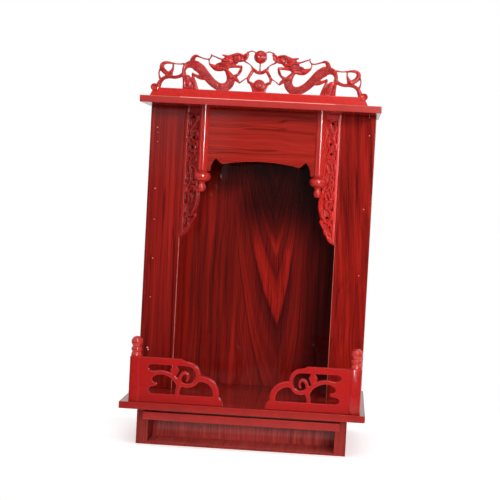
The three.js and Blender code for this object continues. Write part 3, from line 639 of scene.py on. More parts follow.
# filled nail holes and small chips down the stiles: across, up, width, height in mm
nailDepth = 0.5
stileFace = 25.1
nailMarks = {
    "left": [(-191, 549, 2.0, 2.2), (-190, 540, 1.5, 1.3), (-190, 523, 1.5, 1.3), (-190, 438, 2.0, 2.2),
             (-189, 382, 1.6, 1.4), (-188, 311, 1.7, 1.9), (-189, 240, 1.7, 1.7), (-189.5, 147, 3.6, 3.0),
             (-188, 143.5, 2.4, 3.4)],
    "right": [(193, 553, 2.0, 2.0), (190, 420, 1.8, 1.8), (188, 300, 1.6, 1.5), (191, 586, 2.6, 1.4)],
}
for stile, side in ((leftStile, "left"), (rightStile, "right")):
    marks = []
    for across, up, width, height in nailMarks[side]:
        clearSelection()
        bpy.ops.mesh.primitive_uv_sphere_add(segments=14, ring_count=8, radius=0.5 * mm,
                                             location=(across * mm, stileFace * mm, up * mm))
        mark = bpy.context.object
        mark.scale = (width, nailDepth, height)
        # each lies turned its own way, by its height
        mark.rotation_euler = (0, 0.7 * up, 0)
        bpy.ops.object.transform_apply(location=True, rotation=True, scale=True)
        bpy.ops.object.shade_smooth()
        mark.data.materials.append(paleMark)
        marks.append(mark)
    joinPieces([stile] + marks, stile.name)
print("boards laid")


# carving: swelling ribbons and cut plates that are fused into one skin

def mixPoints(first, second, share):
    return [a + (b - a) * share for a, b in zip(first, second)]


def smoothLine(points, step=1.3):
    # [across, up, width] samples along a smooth line through the drawn points
    line = []
    for i in range(len(points) - 1):
        before, here = points[max(i - 1, 0)], points[i]
        there, after = points[i + 1], points[min(i + 2, len(points) - 1)]
        count = max(2, round(math.dist(here[:2], there[:2]) / step))
        for k in range(count + (i == len(points) - 2)):
            t = k / count
            spot = [0.5 * (2 * here[a] + (there[a] - before[a]) * t
                           + (2 * before[a] - 5 * here[a] + 4 * there[a] - after[a]) * t * t
                           + (3 * here[a] - before[a] - 3 * there[a] + after[a]) * t ** 3) for a in (0, 1)]
            line.append(spot + [here[2] + (there[2] - here[2]) * t])
    return line


def newMesh(name, places, faces, edges=()):
    mesh = bpy.data.meshes.new(name)
    mesh.from_pydata([tuple(value * mm for value in place) for place in places], list(edges), faces)
    mesh.update()
    obj = bpy.data.objects.new(name, mesh)
    bpy.context.scene.collection.objects.link(obj)
    return obj


def ribbon(name, points, front, back, edge, dome, side=1, origin=(0, 0), roundEnds=0.7):
    # a carved stroke with a flat back, upright walls and a rounded face. front and back are depths in mm,
    # edge is how far the rounding reaches in from the wall and dome how far it falls
    caps = ((0.45, 0.8), (0.8, 0.5), (1.0, 0.18))
    line = smoothLine(points)
    turns = [math.radians(value) for value in (0, 22, 45, 67, 90)]
    rings = []
    samples = [(spot, 1.0, 0.0) for spot in line]
    for share, shrink in caps:
        samples.insert(0, (line[0], shrink, -share))
        samples.append((line[-1], shrink, share))
    for index, (spot, shrink, beyond) in enumerate(samples):
        at = min(max(index - len(caps), 0), len(line) - 1)
        ahead, behind = line[min(at + 1, len(line) - 1)], line[max(at - 1, 0)]
        along = Vector((ahead[0] - behind[0], ahead[1] - behind[1])).normalized()
        across = Vector((-along.y, along.x))
        half = spot[2] / 2
        centre = Vector(spot[:2]) + along * (beyond * half * roundEnds)
        width = half * shrink
        reach, fall = min(edge, width), min(dome, width * 0.9)
        face = [(width - reach + reach * math.cos(turn), front + fall * (1 - math.sin(turn))) for turn in turns]
        ring = [(width - min(0.6, width * 0.4), back), (width, back - 0.7)] + face
        ring += [(-offset, depth) for offset, depth in reversed(ring)]
        rings.append([(origin[0] + side * (centre.x + across.x * offset), depth,
                       origin[1] + centre.y + across.y * offset) for offset, depth in ring])
    size = len(rings[0])
    places = [place for ring in rings for place in ring]
    faces = [tuple(range(size)), tuple(range(len(places) - 1, len(places) - size - 1, -1))]
    for i in range(len(rings) - 1):
        for k in range(size):
            a, b = i * size + k, i * size + (k + 1) % size
            faces.append((a, a + size, b + size, b))
    return turnOutward(newMesh(name, places, faces))


def copied(obj, name):
    # a copy with its own mesh
    copy = obj.copy()
    copy.data = obj.data.copy()
    copy.name = name
    bpy.context.scene.collection.objects.link(copy)
    return copy


def turnOutward(obj):
    takeUp(obj)
    bpy.ops.object.mode_set(mode='EDIT')
    bpy.ops.mesh.select_all(action='SELECT')
    bpy.ops.mesh.normals_make_consistent(inside=False)
    bpy.ops.object.mode_set(mode='OBJECT')
    return obj


def cutPlate(name, outline, front, back, side=1, origin=(0, 0), ease=0.0, segments=3):
    # an outline sawn out of a board: a filled circle whose points are moved to the outline, then extruded back
    clearSelection()
    bpy.ops.mesh.primitive_circle_add(vertices=len(outline), fill_type='NGON', radius=1)
    plate = bpy.context.object
    plate.name = name
    for vertex, (across, up) in zip(plate.data.vertices, outline):
        vertex.co = Vector((origin[0] + side * across, front, origin[1] + up)) * mm
    bpy.ops.object.mode_set(mode='EDIT')
    bpy.ops.mesh.select_all(action='SELECT')
    bpy.ops.mesh.extrude_region_move(TRANSFORM_OT_translate={"value": (0, (back - front) * mm, 0)})
    bpy.ops.object.mode_set(mode='OBJECT')
    turnOutward(plate)
    if ease:
        useModifier(plate, 'BEVEL', {"width": ease * mm, "segments": segments, "limit_method": 'ANGLE',
                                     "angle_limit": math.radians(35)})
    return plate


def turnProfile(name, profile, steps):
    # a [radius, height] profile in mm spun about an upright axis
    edges = [(i, i + 1) for i in range(len(profile) - 1)]
    obj = takeUp(newMesh(name, [(radius, 0, height) for radius, height in profile], [], edges))
    bpy.ops.object.mode_set(mode='EDIT')
    bpy.ops.mesh.select_all(action='SELECT')
    bpy.ops.mesh.spin(steps=steps, angle=math.radians(360), center=(0, 0, 0), axis=(0, 0, 1))
    bpy.ops.mesh.select_all(action='SELECT')
    bpy.ops.mesh.remove_doubles(threshold=0.01 * mm)
    bpy.ops.object.mode_set(mode='OBJECT')
    return turnOutward(obj)


def discOutline(across, up, radius, count=48):
    return [(across + radius * math.cos(2 * math.pi * i / count),
             up + radius * math.sin(2 * math.pi * i / count)) for i in range(count)]


def circleLine(across, up, radius, step, width=0):
    # a closed stroke round a point, with a sample every few degrees
    return [[across + radius * math.cos(math.radians(turn)), up + radius * math.sin(math.radians(turn)), width]
            for turn in range(0, 361, step)]


def bead(name, across, up, depth, radius, flat=1.0, side=1, origin=(0, 0)):
    clearSelection()
    bpy.ops.mesh.primitive_uv_sphere_add(segments=24, ring_count=14, radius=radius * mm,
                                         location=((origin[0] + side * across) * mm, depth * mm,
                                                   (origin[1] + up) * mm))
    bpy.context.object.name = name
    bpy.context.object.scale = (1, flat, 1)
    bpy.ops.object.transform_apply(location=True, rotation=True, scale=True)
    return bpy.context.object


def fuse(pieces, name, voxel, passes, most):
    # one watertight skin over all the pieces, softened as thick lacquer softens carving
    whole = joinPieces(pieces, name)
    useModifier(whole, 'REMESH', {"mode": 'VOXEL', "voxel_size": voxel * mm, "use_smooth_shade": True})
    return soften(whole, passes, most)


def soften(obj, passes, most):
    useModifier(obj, 'SMOOTH', {"factor": 0.5, "iterations": passes})
    count = 2 * len(obj.data.polygons)
    if count > most:
        useModifier(obj, 'DECIMATE', {"ratio": most / count})
    takeUp(obj)
    bpy.ops.object.shade_smooth()
    return obj


def readPlaces(obj):
    places = numpy.empty(3 * len(obj.data.vertices), dtype=numpy.float32)
    obj.data.vertices.foreach_get("co", places)
    return places.reshape(-1, 3) / mm


def writePlaces(obj, places):
    obj.data.vertices.foreach_set("co", (places * mm).astype(numpy.float32).ravel())
    obj.data.update()


def paintCreaseShade(obj, amounts):
    # remembers per point how much painted shade falls in a cut or crease, for the shader to darken it
    if "creaseShade" not in obj.data.attributes:
        obj.data.attributes.new("creaseShade", 'FLOAT', 'POINT')
    layer = obj.data.attributes["creaseShade"].data
    kept = numpy.empty(len(layer), dtype=numpy.float32)
    layer.foreach_get("value", kept)
    layer.foreach_set("value", numpy.maximum(kept, amounts).astype(numpy.float32))


def frontShare(obj):
    # 1 on faces that look forward, 0 on walls and backs
    normals = numpy.empty(3 * len(obj.data.vertices), dtype=numpy.float32)
    obj.data.vertex_normals.foreach_get("vector", normals)
    return numpy.clip(-normals.reshape(-1, 3)[:, 1] * 1.6 - 0.3, 0, 1)


def gouge(obj, lines, width, depth, side=1, origin=(0, 0)):
    # V-grooves cut with a fine gouge along [across, up] lines, only where the skin looks forward
    places = readPlaces(obj)
    spots = numpy.stack([(places[:, 0] - origin[0]) * side, places[:, 2] - origin[1]], axis=1)
    nearest = numpy.full(len(spots), 99.0)
    for line in lines:
        samples = smoothLine([list(point) + [0] * (3 - len(point)) for point in line], 1.6)
        for start, end in zip(samples, samples[1:]):
            first, step = numpy.array(start[:2]), numpy.array(end[:2]) - numpy.array(start[:2])
            close = numpy.where(numpy.abs(spots - first).max(axis=1) < width + 3)[0]
            if not len(close):
                continue
            share = numpy.clip(((spots[close] - first) @ step) / max(step @ step, 1e-6), 0, 1)
            gap = numpy.linalg.norm(spots[close] - first - share[:, None] * step, axis=1)
            nearest[close] = numpy.minimum(nearest[close], gap)
    groove = frontShare(obj) * numpy.exp(-(nearest / (width / 2)) ** 2)
    places[:, 1] += depth * groove
    # painted shade in the groove
    paintCreaseShade(obj, 0.85 * groove)
    writePlaces(obj, places)


# columns: one profile spun about its axis, and a copy

columnShape = {
    "axis": 105.5, "plane": 24.0, "top": 588.0, "steps": 64,
    "profile": [(0, 588), (10, 588), (10, 477.2), (9.8, 475.2), (9.2, 474.2), (9.1, 473.2), (9.6, 472.4),
                (11.2, 471.9), (13.2, 471.0), (14.8, 469.2), (15.8, 466.6), (16.0, 464.0), (15.7, 461.4),
                (14.6, 458.9), (12.8, 457.1), (10.8, 456.2), (9.2, 455.9), (7.6, 454.9), (6.3, 453.5),
                (5.6, 452.0), (5.5, 450.6), (5.9, 449.6), (6.8, 447.5), (7.35, 445.4), (7.5, 443.4),
                (7.2, 441.0), (6.3, 438.9), (4.9, 437.2), (3.2, 436.3), (0, 436)],
}
column = turnProfile("left_column_turned", columnShape["profile"], columnShape["steps"])
rightColumn = copied(column, "right_column_turned")
for obj, side, node in ((column, -1, "left_column"), (rightColumn, 1, "right_column")):
    obj.location = (side * columnShape["axis"] * mm, columnShape["plane"] * mm, 0)
    finishPiece(obj, [node], [turnedLacquer], smooth=32)
print("columns turned")


# apron: a plank sawn to a shallow arch between two cusps

def quadratic(start, bend, end, count):
    # a curve that bends towards one point, without its start
    return [mixPoints(mixPoints(start, bend, i / count), mixPoints(bend, end, i / count), i / count)
            for i in range(1, count + 1)]


apronShape = {
    "half": 105.5, "top": 588.0, "front": 19.5, "back": 28.5, "ease": 0.8, "foot": (91.0, -114.0),
    # bend, end and steps: up to the notch, down to the cusp, and the arch to the middle
    "curves": [((91.0, -100.5), (81.5, -90.0), 9), ((76.5, -95.5), (70.0, -100.0), 9),
               ((35.0, -92.5), (0.0, -92.5), 14)],
}
halfEdge = [apronShape["foot"]]
for bend, end, steps in apronShape["curves"]:
    halfEdge += quadratic(halfEdge[-1], bend, end, steps)
rightEdge = [(apronShape["half"], 0), (apronShape["half"], apronShape["foot"][1])] + halfEdge
apronOutline = rightEdge + [(-across, up) for across, up in reversed(rightEdge[:-1])]
apron = cutPlate("apron_plank", apronOutline, apronShape["front"], apronShape["back"],
                 origin=(0, apronShape["top"]), ease=apronShape["ease"], segments=2)
finishPiece(apron, ["apron"], [apronFilm], smooth=50)
useModifier(apron, 'WEIGHTED_NORMAL', {"mode": 'FACE_AREA', "weight": 100, "keep_sharp": True})
print("apron sawn")


# balustrades: a pierced panel with soft edges, a crowned post and a turned finial

balustradeShape = {
    "outer": 196.5, "outerRight": 201.5, "base": 73.5, "front": -160.0, "setback": 10.0, "step": 3.0,
    "thick": 10.0,
    "post": 21.0, "height": 76.5, "roundness": 0.58, "edge": 2.2, "fall": 1.9, "slide": 4.6,
    "vine": [[30, 47, 14], [42, 49.5, 8], [52, 51.5, 7.5], [61.5, 51, 7.5], [71.5, 47.5, 8], [80.5, 40.5, 8],
             [87, 31, 9]],
    "stem": [[88, 32, 9], [85, 24, 7], [84, 17, 6.5], [84.5, 10, 8]],
    "spiral": [[87.5, 31, 8], [87.5, 42, 6], [90.5, 50, 6], [96.5, 53, 5.5], [101.5, 49, 5], [101.5, 43, 4.5],
               [99.5, 39.5, 4]],
    "tongue": [[28, 30.5, 14], [38, 30.5, 9], [46.5, 31, 6]],
    "ring": (100.0, 49.6, 14.8, 22.4, -0.85, 0.55),
    "arch": (124.5, 18.0, 21.0, 31.5, -0.10, 0.60),
    "diamond": [(77.2, 68), (71.2, 58), (70.6, 54.6), (79.2, 46.4), (81.4, 47.4), (85.8, 56.6), (80.4, 68)],
    "topRail": [(16, 65), (104, 65), (104, 71.5), (100.5, 72), (97, 72.6), (94.3, 73.3), (92, 74.3), (90, 75.6),
                (88, 76.5), (16, 76.5)],
    "bottomRail": [(16, 0), (163.5, 0), (162.5, 5.5), (160, 10.5), (157.8, 13), (155.5, 14.5), (16, 14.5)],
    "slots": [(39.5, 20.5, 5.5), (45.5, 39, 6), (38, 59.5, 5.5)],
    "uprightFoot": [(16.0, 0.0)], "uprightTop": [(38.0, 76.5), (16.0, 76.5)],
    "slideIn": (22, 24), "slideOut": (88, 50), "crownEase": 0.9, "turnSteps": 56,
    "finial": [(0, 74), (9.3, 74), (9.5, 76.5), (9.45, 79.0), (9.1, 81.4), (8.5, 83.2), (7.8, 84.1),
               (7.6, 84.5), (7.9, 85.0), (8.8, 85.6), (9.35, 87.0), (9.5, 89.0), (9.3, 91.0), (8.7, 92.3),
               (7.7, 93.1), (7.3, 93.6), (7.6, 94.2)],
    "ball": (101.4, 10.0, 7.6),
    "voxel": 0.62, "passes": 9, "most": 90000,
}


def bandLine(across, up, inner, outer, start, end):
    # a bent band as a stroke between two shares of a half turn: points on its middle line with its width
    radius, count = (inner + outer) / 2, 14
    turns = [math.pi * (start + (end - start) * i / count) for i in range(count + 1)]
    return [[across + radius * math.cos(turn), up + radius * math.sin(turn), outer - inner] for turn in turns]


def buildBalustrade():
    look = balustradeShape
    front = look["front"] + look["setback"] + look["step"]
    back = front + look["thick"]
    pieces = [ribbon(name, look[name], front, back, look["edge"], look["fall"])
              for name in ("vine", "stem", "spiral", "tongue")]
    for name in ("ring", "arch"):
        pieces.append(ribbon(name, bandLine(*look[name]), front, back, look["edge"], look["fall"],
                             roundEnds=0.3))
    upright = list(look["uprightFoot"])
    for across, up, radius in look["slots"]:
        upright += [(across + radius * math.cos(math.radians(turn)), up + radius * math.sin(math.radians(turn)))
                    for turn in range(-90, -271, -20)]
    upright += look["uprightTop"]
    for name, outline in (("diamond", look["diamond"]), ("top", look["topRail"]),
                          ("bottom", look["bottomRail"]),
                          ("upright", upright)):
        pieces.append(cutPlate(name, outline, front, back))
    panel = fuse(pieces, "panel", look["voxel"], look["passes"], look["most"])
    # the post has a squarish round cross-section, and its top edge is eased
    half = look["post"] / 2
    centre = (half, look["front"] + look["setback"] + half)
    turns = [2 * math.pi * i / 72 for i in range(72)]
    section = [(abs(math.cos(t)) ** look["roundness"] * math.copysign(half, math.cos(t)),
                abs(math.sin(t)) ** look["roundness"] * math.copysign(half, math.sin(t))) for t in turns]
    post = cutPlate("post", section, 0, -look["height"])
    post.rotation_euler = (math.radians(90), 0, 0)
    bpy.ops.object.transform_apply(location=True, rotation=True, scale=True)
    low = min(vertex.co.z for vertex in post.data.vertices)
    post.location = (centre[0] * mm, centre[1] * mm, -low)
    useModifier(post, 'BEVEL', {"width": look["crownEase"] * mm, "segments": 3, "limit_method": 'ANGLE',
                                "angle_limit": math.radians(50)})
    # the finial's ball starts where its neck has the ball's width
    middle, radius, neck = look["ball"]
    start = math.asin(neck / radius)
    turns = [start + (math.pi - start) * i / 12 for i in range(13)]
    ball = [(max(0.0, radius * math.sin(turn)), middle - radius * math.cos(turn)) for turn in turns]
    finial = turnProfile("finial", look["finial"] + ball, look["turnSteps"])
    finial.location = (centre[0] * mm, centre[1] * mm, 0)
    for piece in (post, finial):
        takeUp(piece)
        bpy.ops.object.transform_apply(location=True, rotation=True, scale=True)
        bpy.ops.object.shade_smooth_by_angle(angle=math.radians(40))
    useModifier(post, 'WEIGHTED_NORMAL', {"mode": 'FACE_AREA', "weight": 60, "keep_sharp": True})
    for piece, material in ((panel, lacquer), (post, lacquer), (finial, turnedLacquer)):
        piece.data.materials.append(material)
    return joinPieces([panel, post, finial], "balustrade")


def mirrored(obj, name):
    # a copy with its own mesh, turned over left to right
    copy = copied(obj, name)
    takeUp(copy)
    copy.scale = (-1, 1, 1)
    bpy.ops.object.transform_apply(location=False, rotation=False, scale=True)
    return turnOutward(copy)


def slideOpenwork(obj, look):
    # the right-hand openwork sits a little further from its post than the left-hand one
    places = readPlaces(obj)
    away = -places[:, 0]
    rising = numpy.clip((away - look["slideIn"][0]) / look["slideIn"][1], 0, 1)
    falling = 1 - numpy.clip((away - look["slideOut"][0]) / look["slideOut"][1], 0, 1)
    places[:, 0] -= look["slide"] * rising ** 2 * (3 - 2 * rising) * falling ** 2 * (3 - 2 * falling)
    writePlaces(obj, places)


leftBalustrade = buildBalustrade()
rightBalustrade = mirrored(leftBalustrade, "right_balustrade_openwork")
slideOpenwork(rightBalustrade, balustradeShape)
leftBalustrade.name = "left_balustrade_openwork"
leftBalustrade.location = (-balustradeShape["outer"] * mm, 0, balustradeShape["base"] * mm)
rightBalustrade.location = (balustradeShape["outerRight"] * mm, 0, balustradeShape["base"] * mm)
finishPiece(leftBalustrade, ["left_balustrade"], [])
finishPiece(rightBalustrade, ["right_balustrade"], [])
print("balustrades fretted")


# crest: two dragons that face a pearl, carved over a plain rail

crestShape = {
    "shift": -4.0, "roof": 600.0, "front": -84.0, "back": -75.0, "recess": 2.5, "dome": 3.4, "thinDome": 1.6,
    "rail": [(-190, 0), (190, 0), (188.5, 3), (186.5, 7), (184.5, 10.6), (182, 14.5), (-182, 14.5),
             (-184.5, 10.6), (-186.5, 7), (-188.5, 3)],
    "pearl": (0, 75.5, 11.5), "mound": (0, 26, 10.8), "boss": (182.5, 15, 6.5),
    "curls": [(113.9, 56.4, 6.2, 1.4, 2.3), (125.4, 25.5, 4.6, 1.2, 2.1), (57.5, 60.5, 4.6, 1.2, 2.0),
              (44.5, 66.5, 3.2, 1.0, 1.8)],
    "beads": [(38, 71.6, 4.4), (23.6, 79.3, 2.0), (33, 58.0, 1.7), (37.5, 57.9, 1.9), (42.3, 57.9, 2.0)],
    "bossRing": (4.9, 2.4), "curlBead": 2.4, "eyeRing": 5.3, "pearlRing": 8.2, "pearlSpiral": 5.2,
    "rosette": [(7.6, 20), (4.2, 30)], "rosetteMiddle": 26.5,
    "scaleLength": 5.0, "scaleRows": 3, "scaleHeight": 2.2, "bodyWidth": 13.5, "haunchWidth": 11.5,
    "footTop": 14.4, "footReach": 174, "voxel": 0.68, "passes": 4, "most": 170000,
}
crestMiddle = {
    "stem": [[0, 66, 2.4], [0, 58, 2.2], [0, 49, 3]],
    "cup": [[-9, 51.6, 3.6], [-6, 49, 5.4], [0, 48.2, 6.2], [6, 49, 5.4], [9, 51.6, 3.6]],
}
crestBowl = [(-21.6, 31.6), (-17.6, 29), (-15.4, 25.2), (-13.2, 20.5), (-12, 16), (-11.5, 12), (11.5, 12),
             (12, 16), (13.2, 20.5), (15.4, 25.2), (17.6, 29), (21.6, 31.6), (17, 33), (12.6, 32), (9, 28),
             (0, 26), (-9, 28), (-12.6, 32), (-17, 33)]
# each figure is drawn once, from the middle outwards and up, and stroked on both sides
crestFigures = {
    "cupHorn": [[5, 49.5, 5], [9.5, 52, 6], [12.5, 55, 4.4], [15, 59.2, 1.8]],
    "cupArm": [[11, 53.5, 5], [14.5, 47.5, 5.4], [18.2, 41, 5], [19.6, 35.5, 4.6], [18.4, 30, 4]],
    "snout": [[22.4, 83, 2.4], [23.8, 78, 7], [27, 73, 9.5], [33, 71, 11], [43, 69.5, 11]],
    "brow": [[35, 77, 5.4], [40, 76.6, 9.6], [47, 73, 12], [56, 69, 13], [64, 63, 11]],
    "horn": [[50, 72, 6], [59, 74, 4.5], [66.5, 76, 1.8]],
    "cheek": [[41, 65.6, 8], [50, 64, 13], [59, 60, 12]],
    "jaw": [[31.8, 57.8, 3], [37, 57.2, 4.4], [44, 57.2, 4.6], [53, 57.6, 8], [60, 56, 10]],
    "beard": [[32.8, 57.2, 4.4], [32.9, 52.5, 4.2], [34.4, 47.6, 4.2], [38.6, 42.6, 4.4], [46, 38.6, 8]],
    "claw": [[35, 28.8, 2.2], [38.5, 33.2, 6], [44, 37, 8], [50, 37, 9]],
    "body": [[62, 58, 13], [57.4, 48.5, 6.8], [51.5, 39.5, 13], [50.5, 30, 15], [57, 21.5, 15], [69, 20.5, 14],
             [82, 28, 14], [93, 39, 15], [103, 49.5, 17], [112, 55.5, 17]],
    "foreleg": [[88.6, 59.2, 2.2], [84, 56.6, 6], [77, 53.6, 11], [69, 54, 13], [61, 57, 13]],
    "flame": [[110, 73, 3], [115, 71, 6], [118, 65, 9], [116, 57, 12]],
    "haunch": [[110, 56, 16], [121, 57.5, 13], [129, 54, 9.5], [132.4, 47, 6.6], [132.4, 41, 6.2],
               [130.5, 34, 8], [129, 22, 9], [129, 12, 9]],
    "hindLeg": [[117.2, 42, 2.4], [111, 38, 5], [102, 35.4, 8], [93, 37, 12]],
    "foot": [[126, 34.5, 12], [124.4, 28, 16], [121.6, 20, 20], [120.4, 11, 23]],
    "tail": [[131, 42, 7], [138, 36.4, 6], [147, 33.6, 5.6], [157, 34, 6], [166, 31.6, 6], [172, 26, 7],
             [175.6, 18, 9], [178, 11, 11]],
    "tailCurl": [[157, 36, 9], [161.5, 39.6, 8.4], [166.4, 42.8, 8.2], [170.6, 48, 8.6], [170.8, 54, 7.4],
                 [166.4, 57.8, 5.4], [159.6, 58.4, 4], [152.5, 57.6, 3]],
    "tailBar": [[151.5, 56.8, 2.6], [151.2, 51.5, 2.6], [152.6, 46, 4.4], [155.4, 40.5, 8], [157, 34, 9]],
}
crestThin = {
    "browWhisker": [[8.5, 82.4, 1.8], [14.5, 85.2, 1.8], [21.5, 83, 2.2]],
    "chinWhisker": [[13.5, 57.8, 1.8], [19, 62.5, 1.8], [27, 66.5, 3]],
    "clawWhisker": [[19, 40, 2], [26, 35.5, 1.8], [34, 29.2, 2.2]],
    "maneLine": [[63, 68, 4], [71, 69.4, 2.6], [78, 72.2, 2.2], [85.2, 74.6, 2.2], [86.2, 76.6, 1.6]],
    "maneLink": [[88.8, 68, 2.2], [89.4, 64, 1.9], [88.2, 59.6, 2.2]],
    "backLine": [[85.2, 74.2, 2.2], [88.8, 68.2, 2.4], [96, 67.8, 2.2], [105, 70.5, 2.4], [112, 72.5, 4]],
    "shin": [[117.2, 41.5, 2.6], [115.6, 34, 4.6], [112.4, 25, 6.4], [109, 13, 8]],
    "tailLoop": [[174.6, 46, 2.6], [175.8, 40.5, 2.2], [175.2, 35.5, 2.4], [173.4, 30, 4]],
    "tailLine": [[153, 58, 2.6], [146.7, 57, 2], [140, 56.8, 2], [133, 57.8, 3]],
}
# low relief laid on the figures: mane locks, fins, brow and lip, then their height above the figure's face
crestRelief = {
    "mane1": [[52, 66, 3.4], [58, 68.5, 3], [63, 71, 1.4]],
    "mane2": [[53, 62, 3.4], [60, 65.5, 3.2], [68, 67.5, 1.4]],
    "mane3": [[54, 58, 3.4], [61, 61, 3.4], [69, 61.5, 3], [76, 59.5, 1.4]],
    "mane4": [[54, 53.5, 2.8], [60, 55.5, 3.4], [68, 56, 3.2], [75, 54, 1.4]],
    "mane5": [[57, 50.5, 2], [63, 51, 3], [70, 50.5, 2.4]],
    "browArch": [[29, 76, 2], [34, 78.5, 3], [41, 78, 3.2], [48, 75.5, 2]],
    "lip": [[22, 73, 2.4], [28, 68, 2.6], [36, 66.5, 2.6], [43, 67, 1.8]],
    "nose": [[20.5, 79.5, 2.2], [24.5, 77.5, 3.4], [28, 74.5, 2.4]],
    "fin1": [[58, 28.5, 1.8], [60, 25.5, 3.6], [59, 21.5, 2]],
    "fin2": [[66, 26.5, 1.8], [68, 24, 3.6], [67.5, 20, 2]],
    "fin3": [[75, 30, 1.8], [76.5, 27, 3.6], [75.5, 23, 2]],
    "nostril": [[23.4, 72, 2], [22.4, 77, 2.4], [25.4, 79.6, 2.4], [28.6, 77.2, 2]],
    "chin": [[33.6, 57, 2], [34.4, 52, 2.6], [37, 46.6, 2]],
    "spine1": [[92, 43.4, 2.6], [96, 45, 3], [98, 42, 2]],
    "spine2": [[84, 35, 2.6], [88, 37, 3], [90.4, 34.4, 2]],
    "rump": [[124, 61.5, 2], [130, 57, 3], [133.5, 50, 2]],
    "knee": [[129.4, 33, 2], [131.4, 27, 3], [129.6, 20, 2]],
    "toe1": [[116, 26, 2], [113.4, 20, 3], [112, 14.5, 2.4]],
    "toe2": [[121.6, 17.6, 2.4], [116.6, 15.8, 2.8]],
    "tailTip1": [[158, 33, 1.8], [163, 36.5, 3], [168, 42.5, 2]],
    "tailTip2": [[167.6, 47.6, 1.8], [168.6, 53.4, 3], [163.4, 57.6, 1.8]],
    "tailTip3": [[153.4, 43, 1.8], [157, 39.5, 2.6], [162, 40.6, 1.8]],
}
# fine cuts on each dragon: beard, flame, legs, tail, nose and cheek
crestCuts = [
    [[31, 55], [32, 49], [36, 44.5], [43, 41]], [[44, 36.5], [50, 35], [56, 38]],
    [[112, 70.5], [116, 66], [115.5, 59]], [[118.5, 68], [120, 62], [119, 56]],
    [[106, 37], [99, 36.6], [94, 39]], [[127, 15], [126.6, 19], [129, 31], [131.4, 38], [131.8, 46]],
    [[119.6, 30], [116.8, 25], [114.6, 16]], [[122, 33], [120, 31], [118.6, 27]], [[118.2, 21], [117.4, 17.6]],
    [[123, 17], [120, 18.8], [117, 18.6]],
    [[135, 40], [145, 34], [157, 34.4], [167, 30.5], [174, 19]], [[154, 40], [156, 36]],
    [[160, 40], [166, 44.4], [169.6, 50], [168, 56]],
    [[29.6, 80], [30.6, 75], [28.4, 69]], [[45.4, 61], [52, 60.6], [57, 64]],
    [[43.8, 75.4], [48, 71], [46.8, 66]],
]


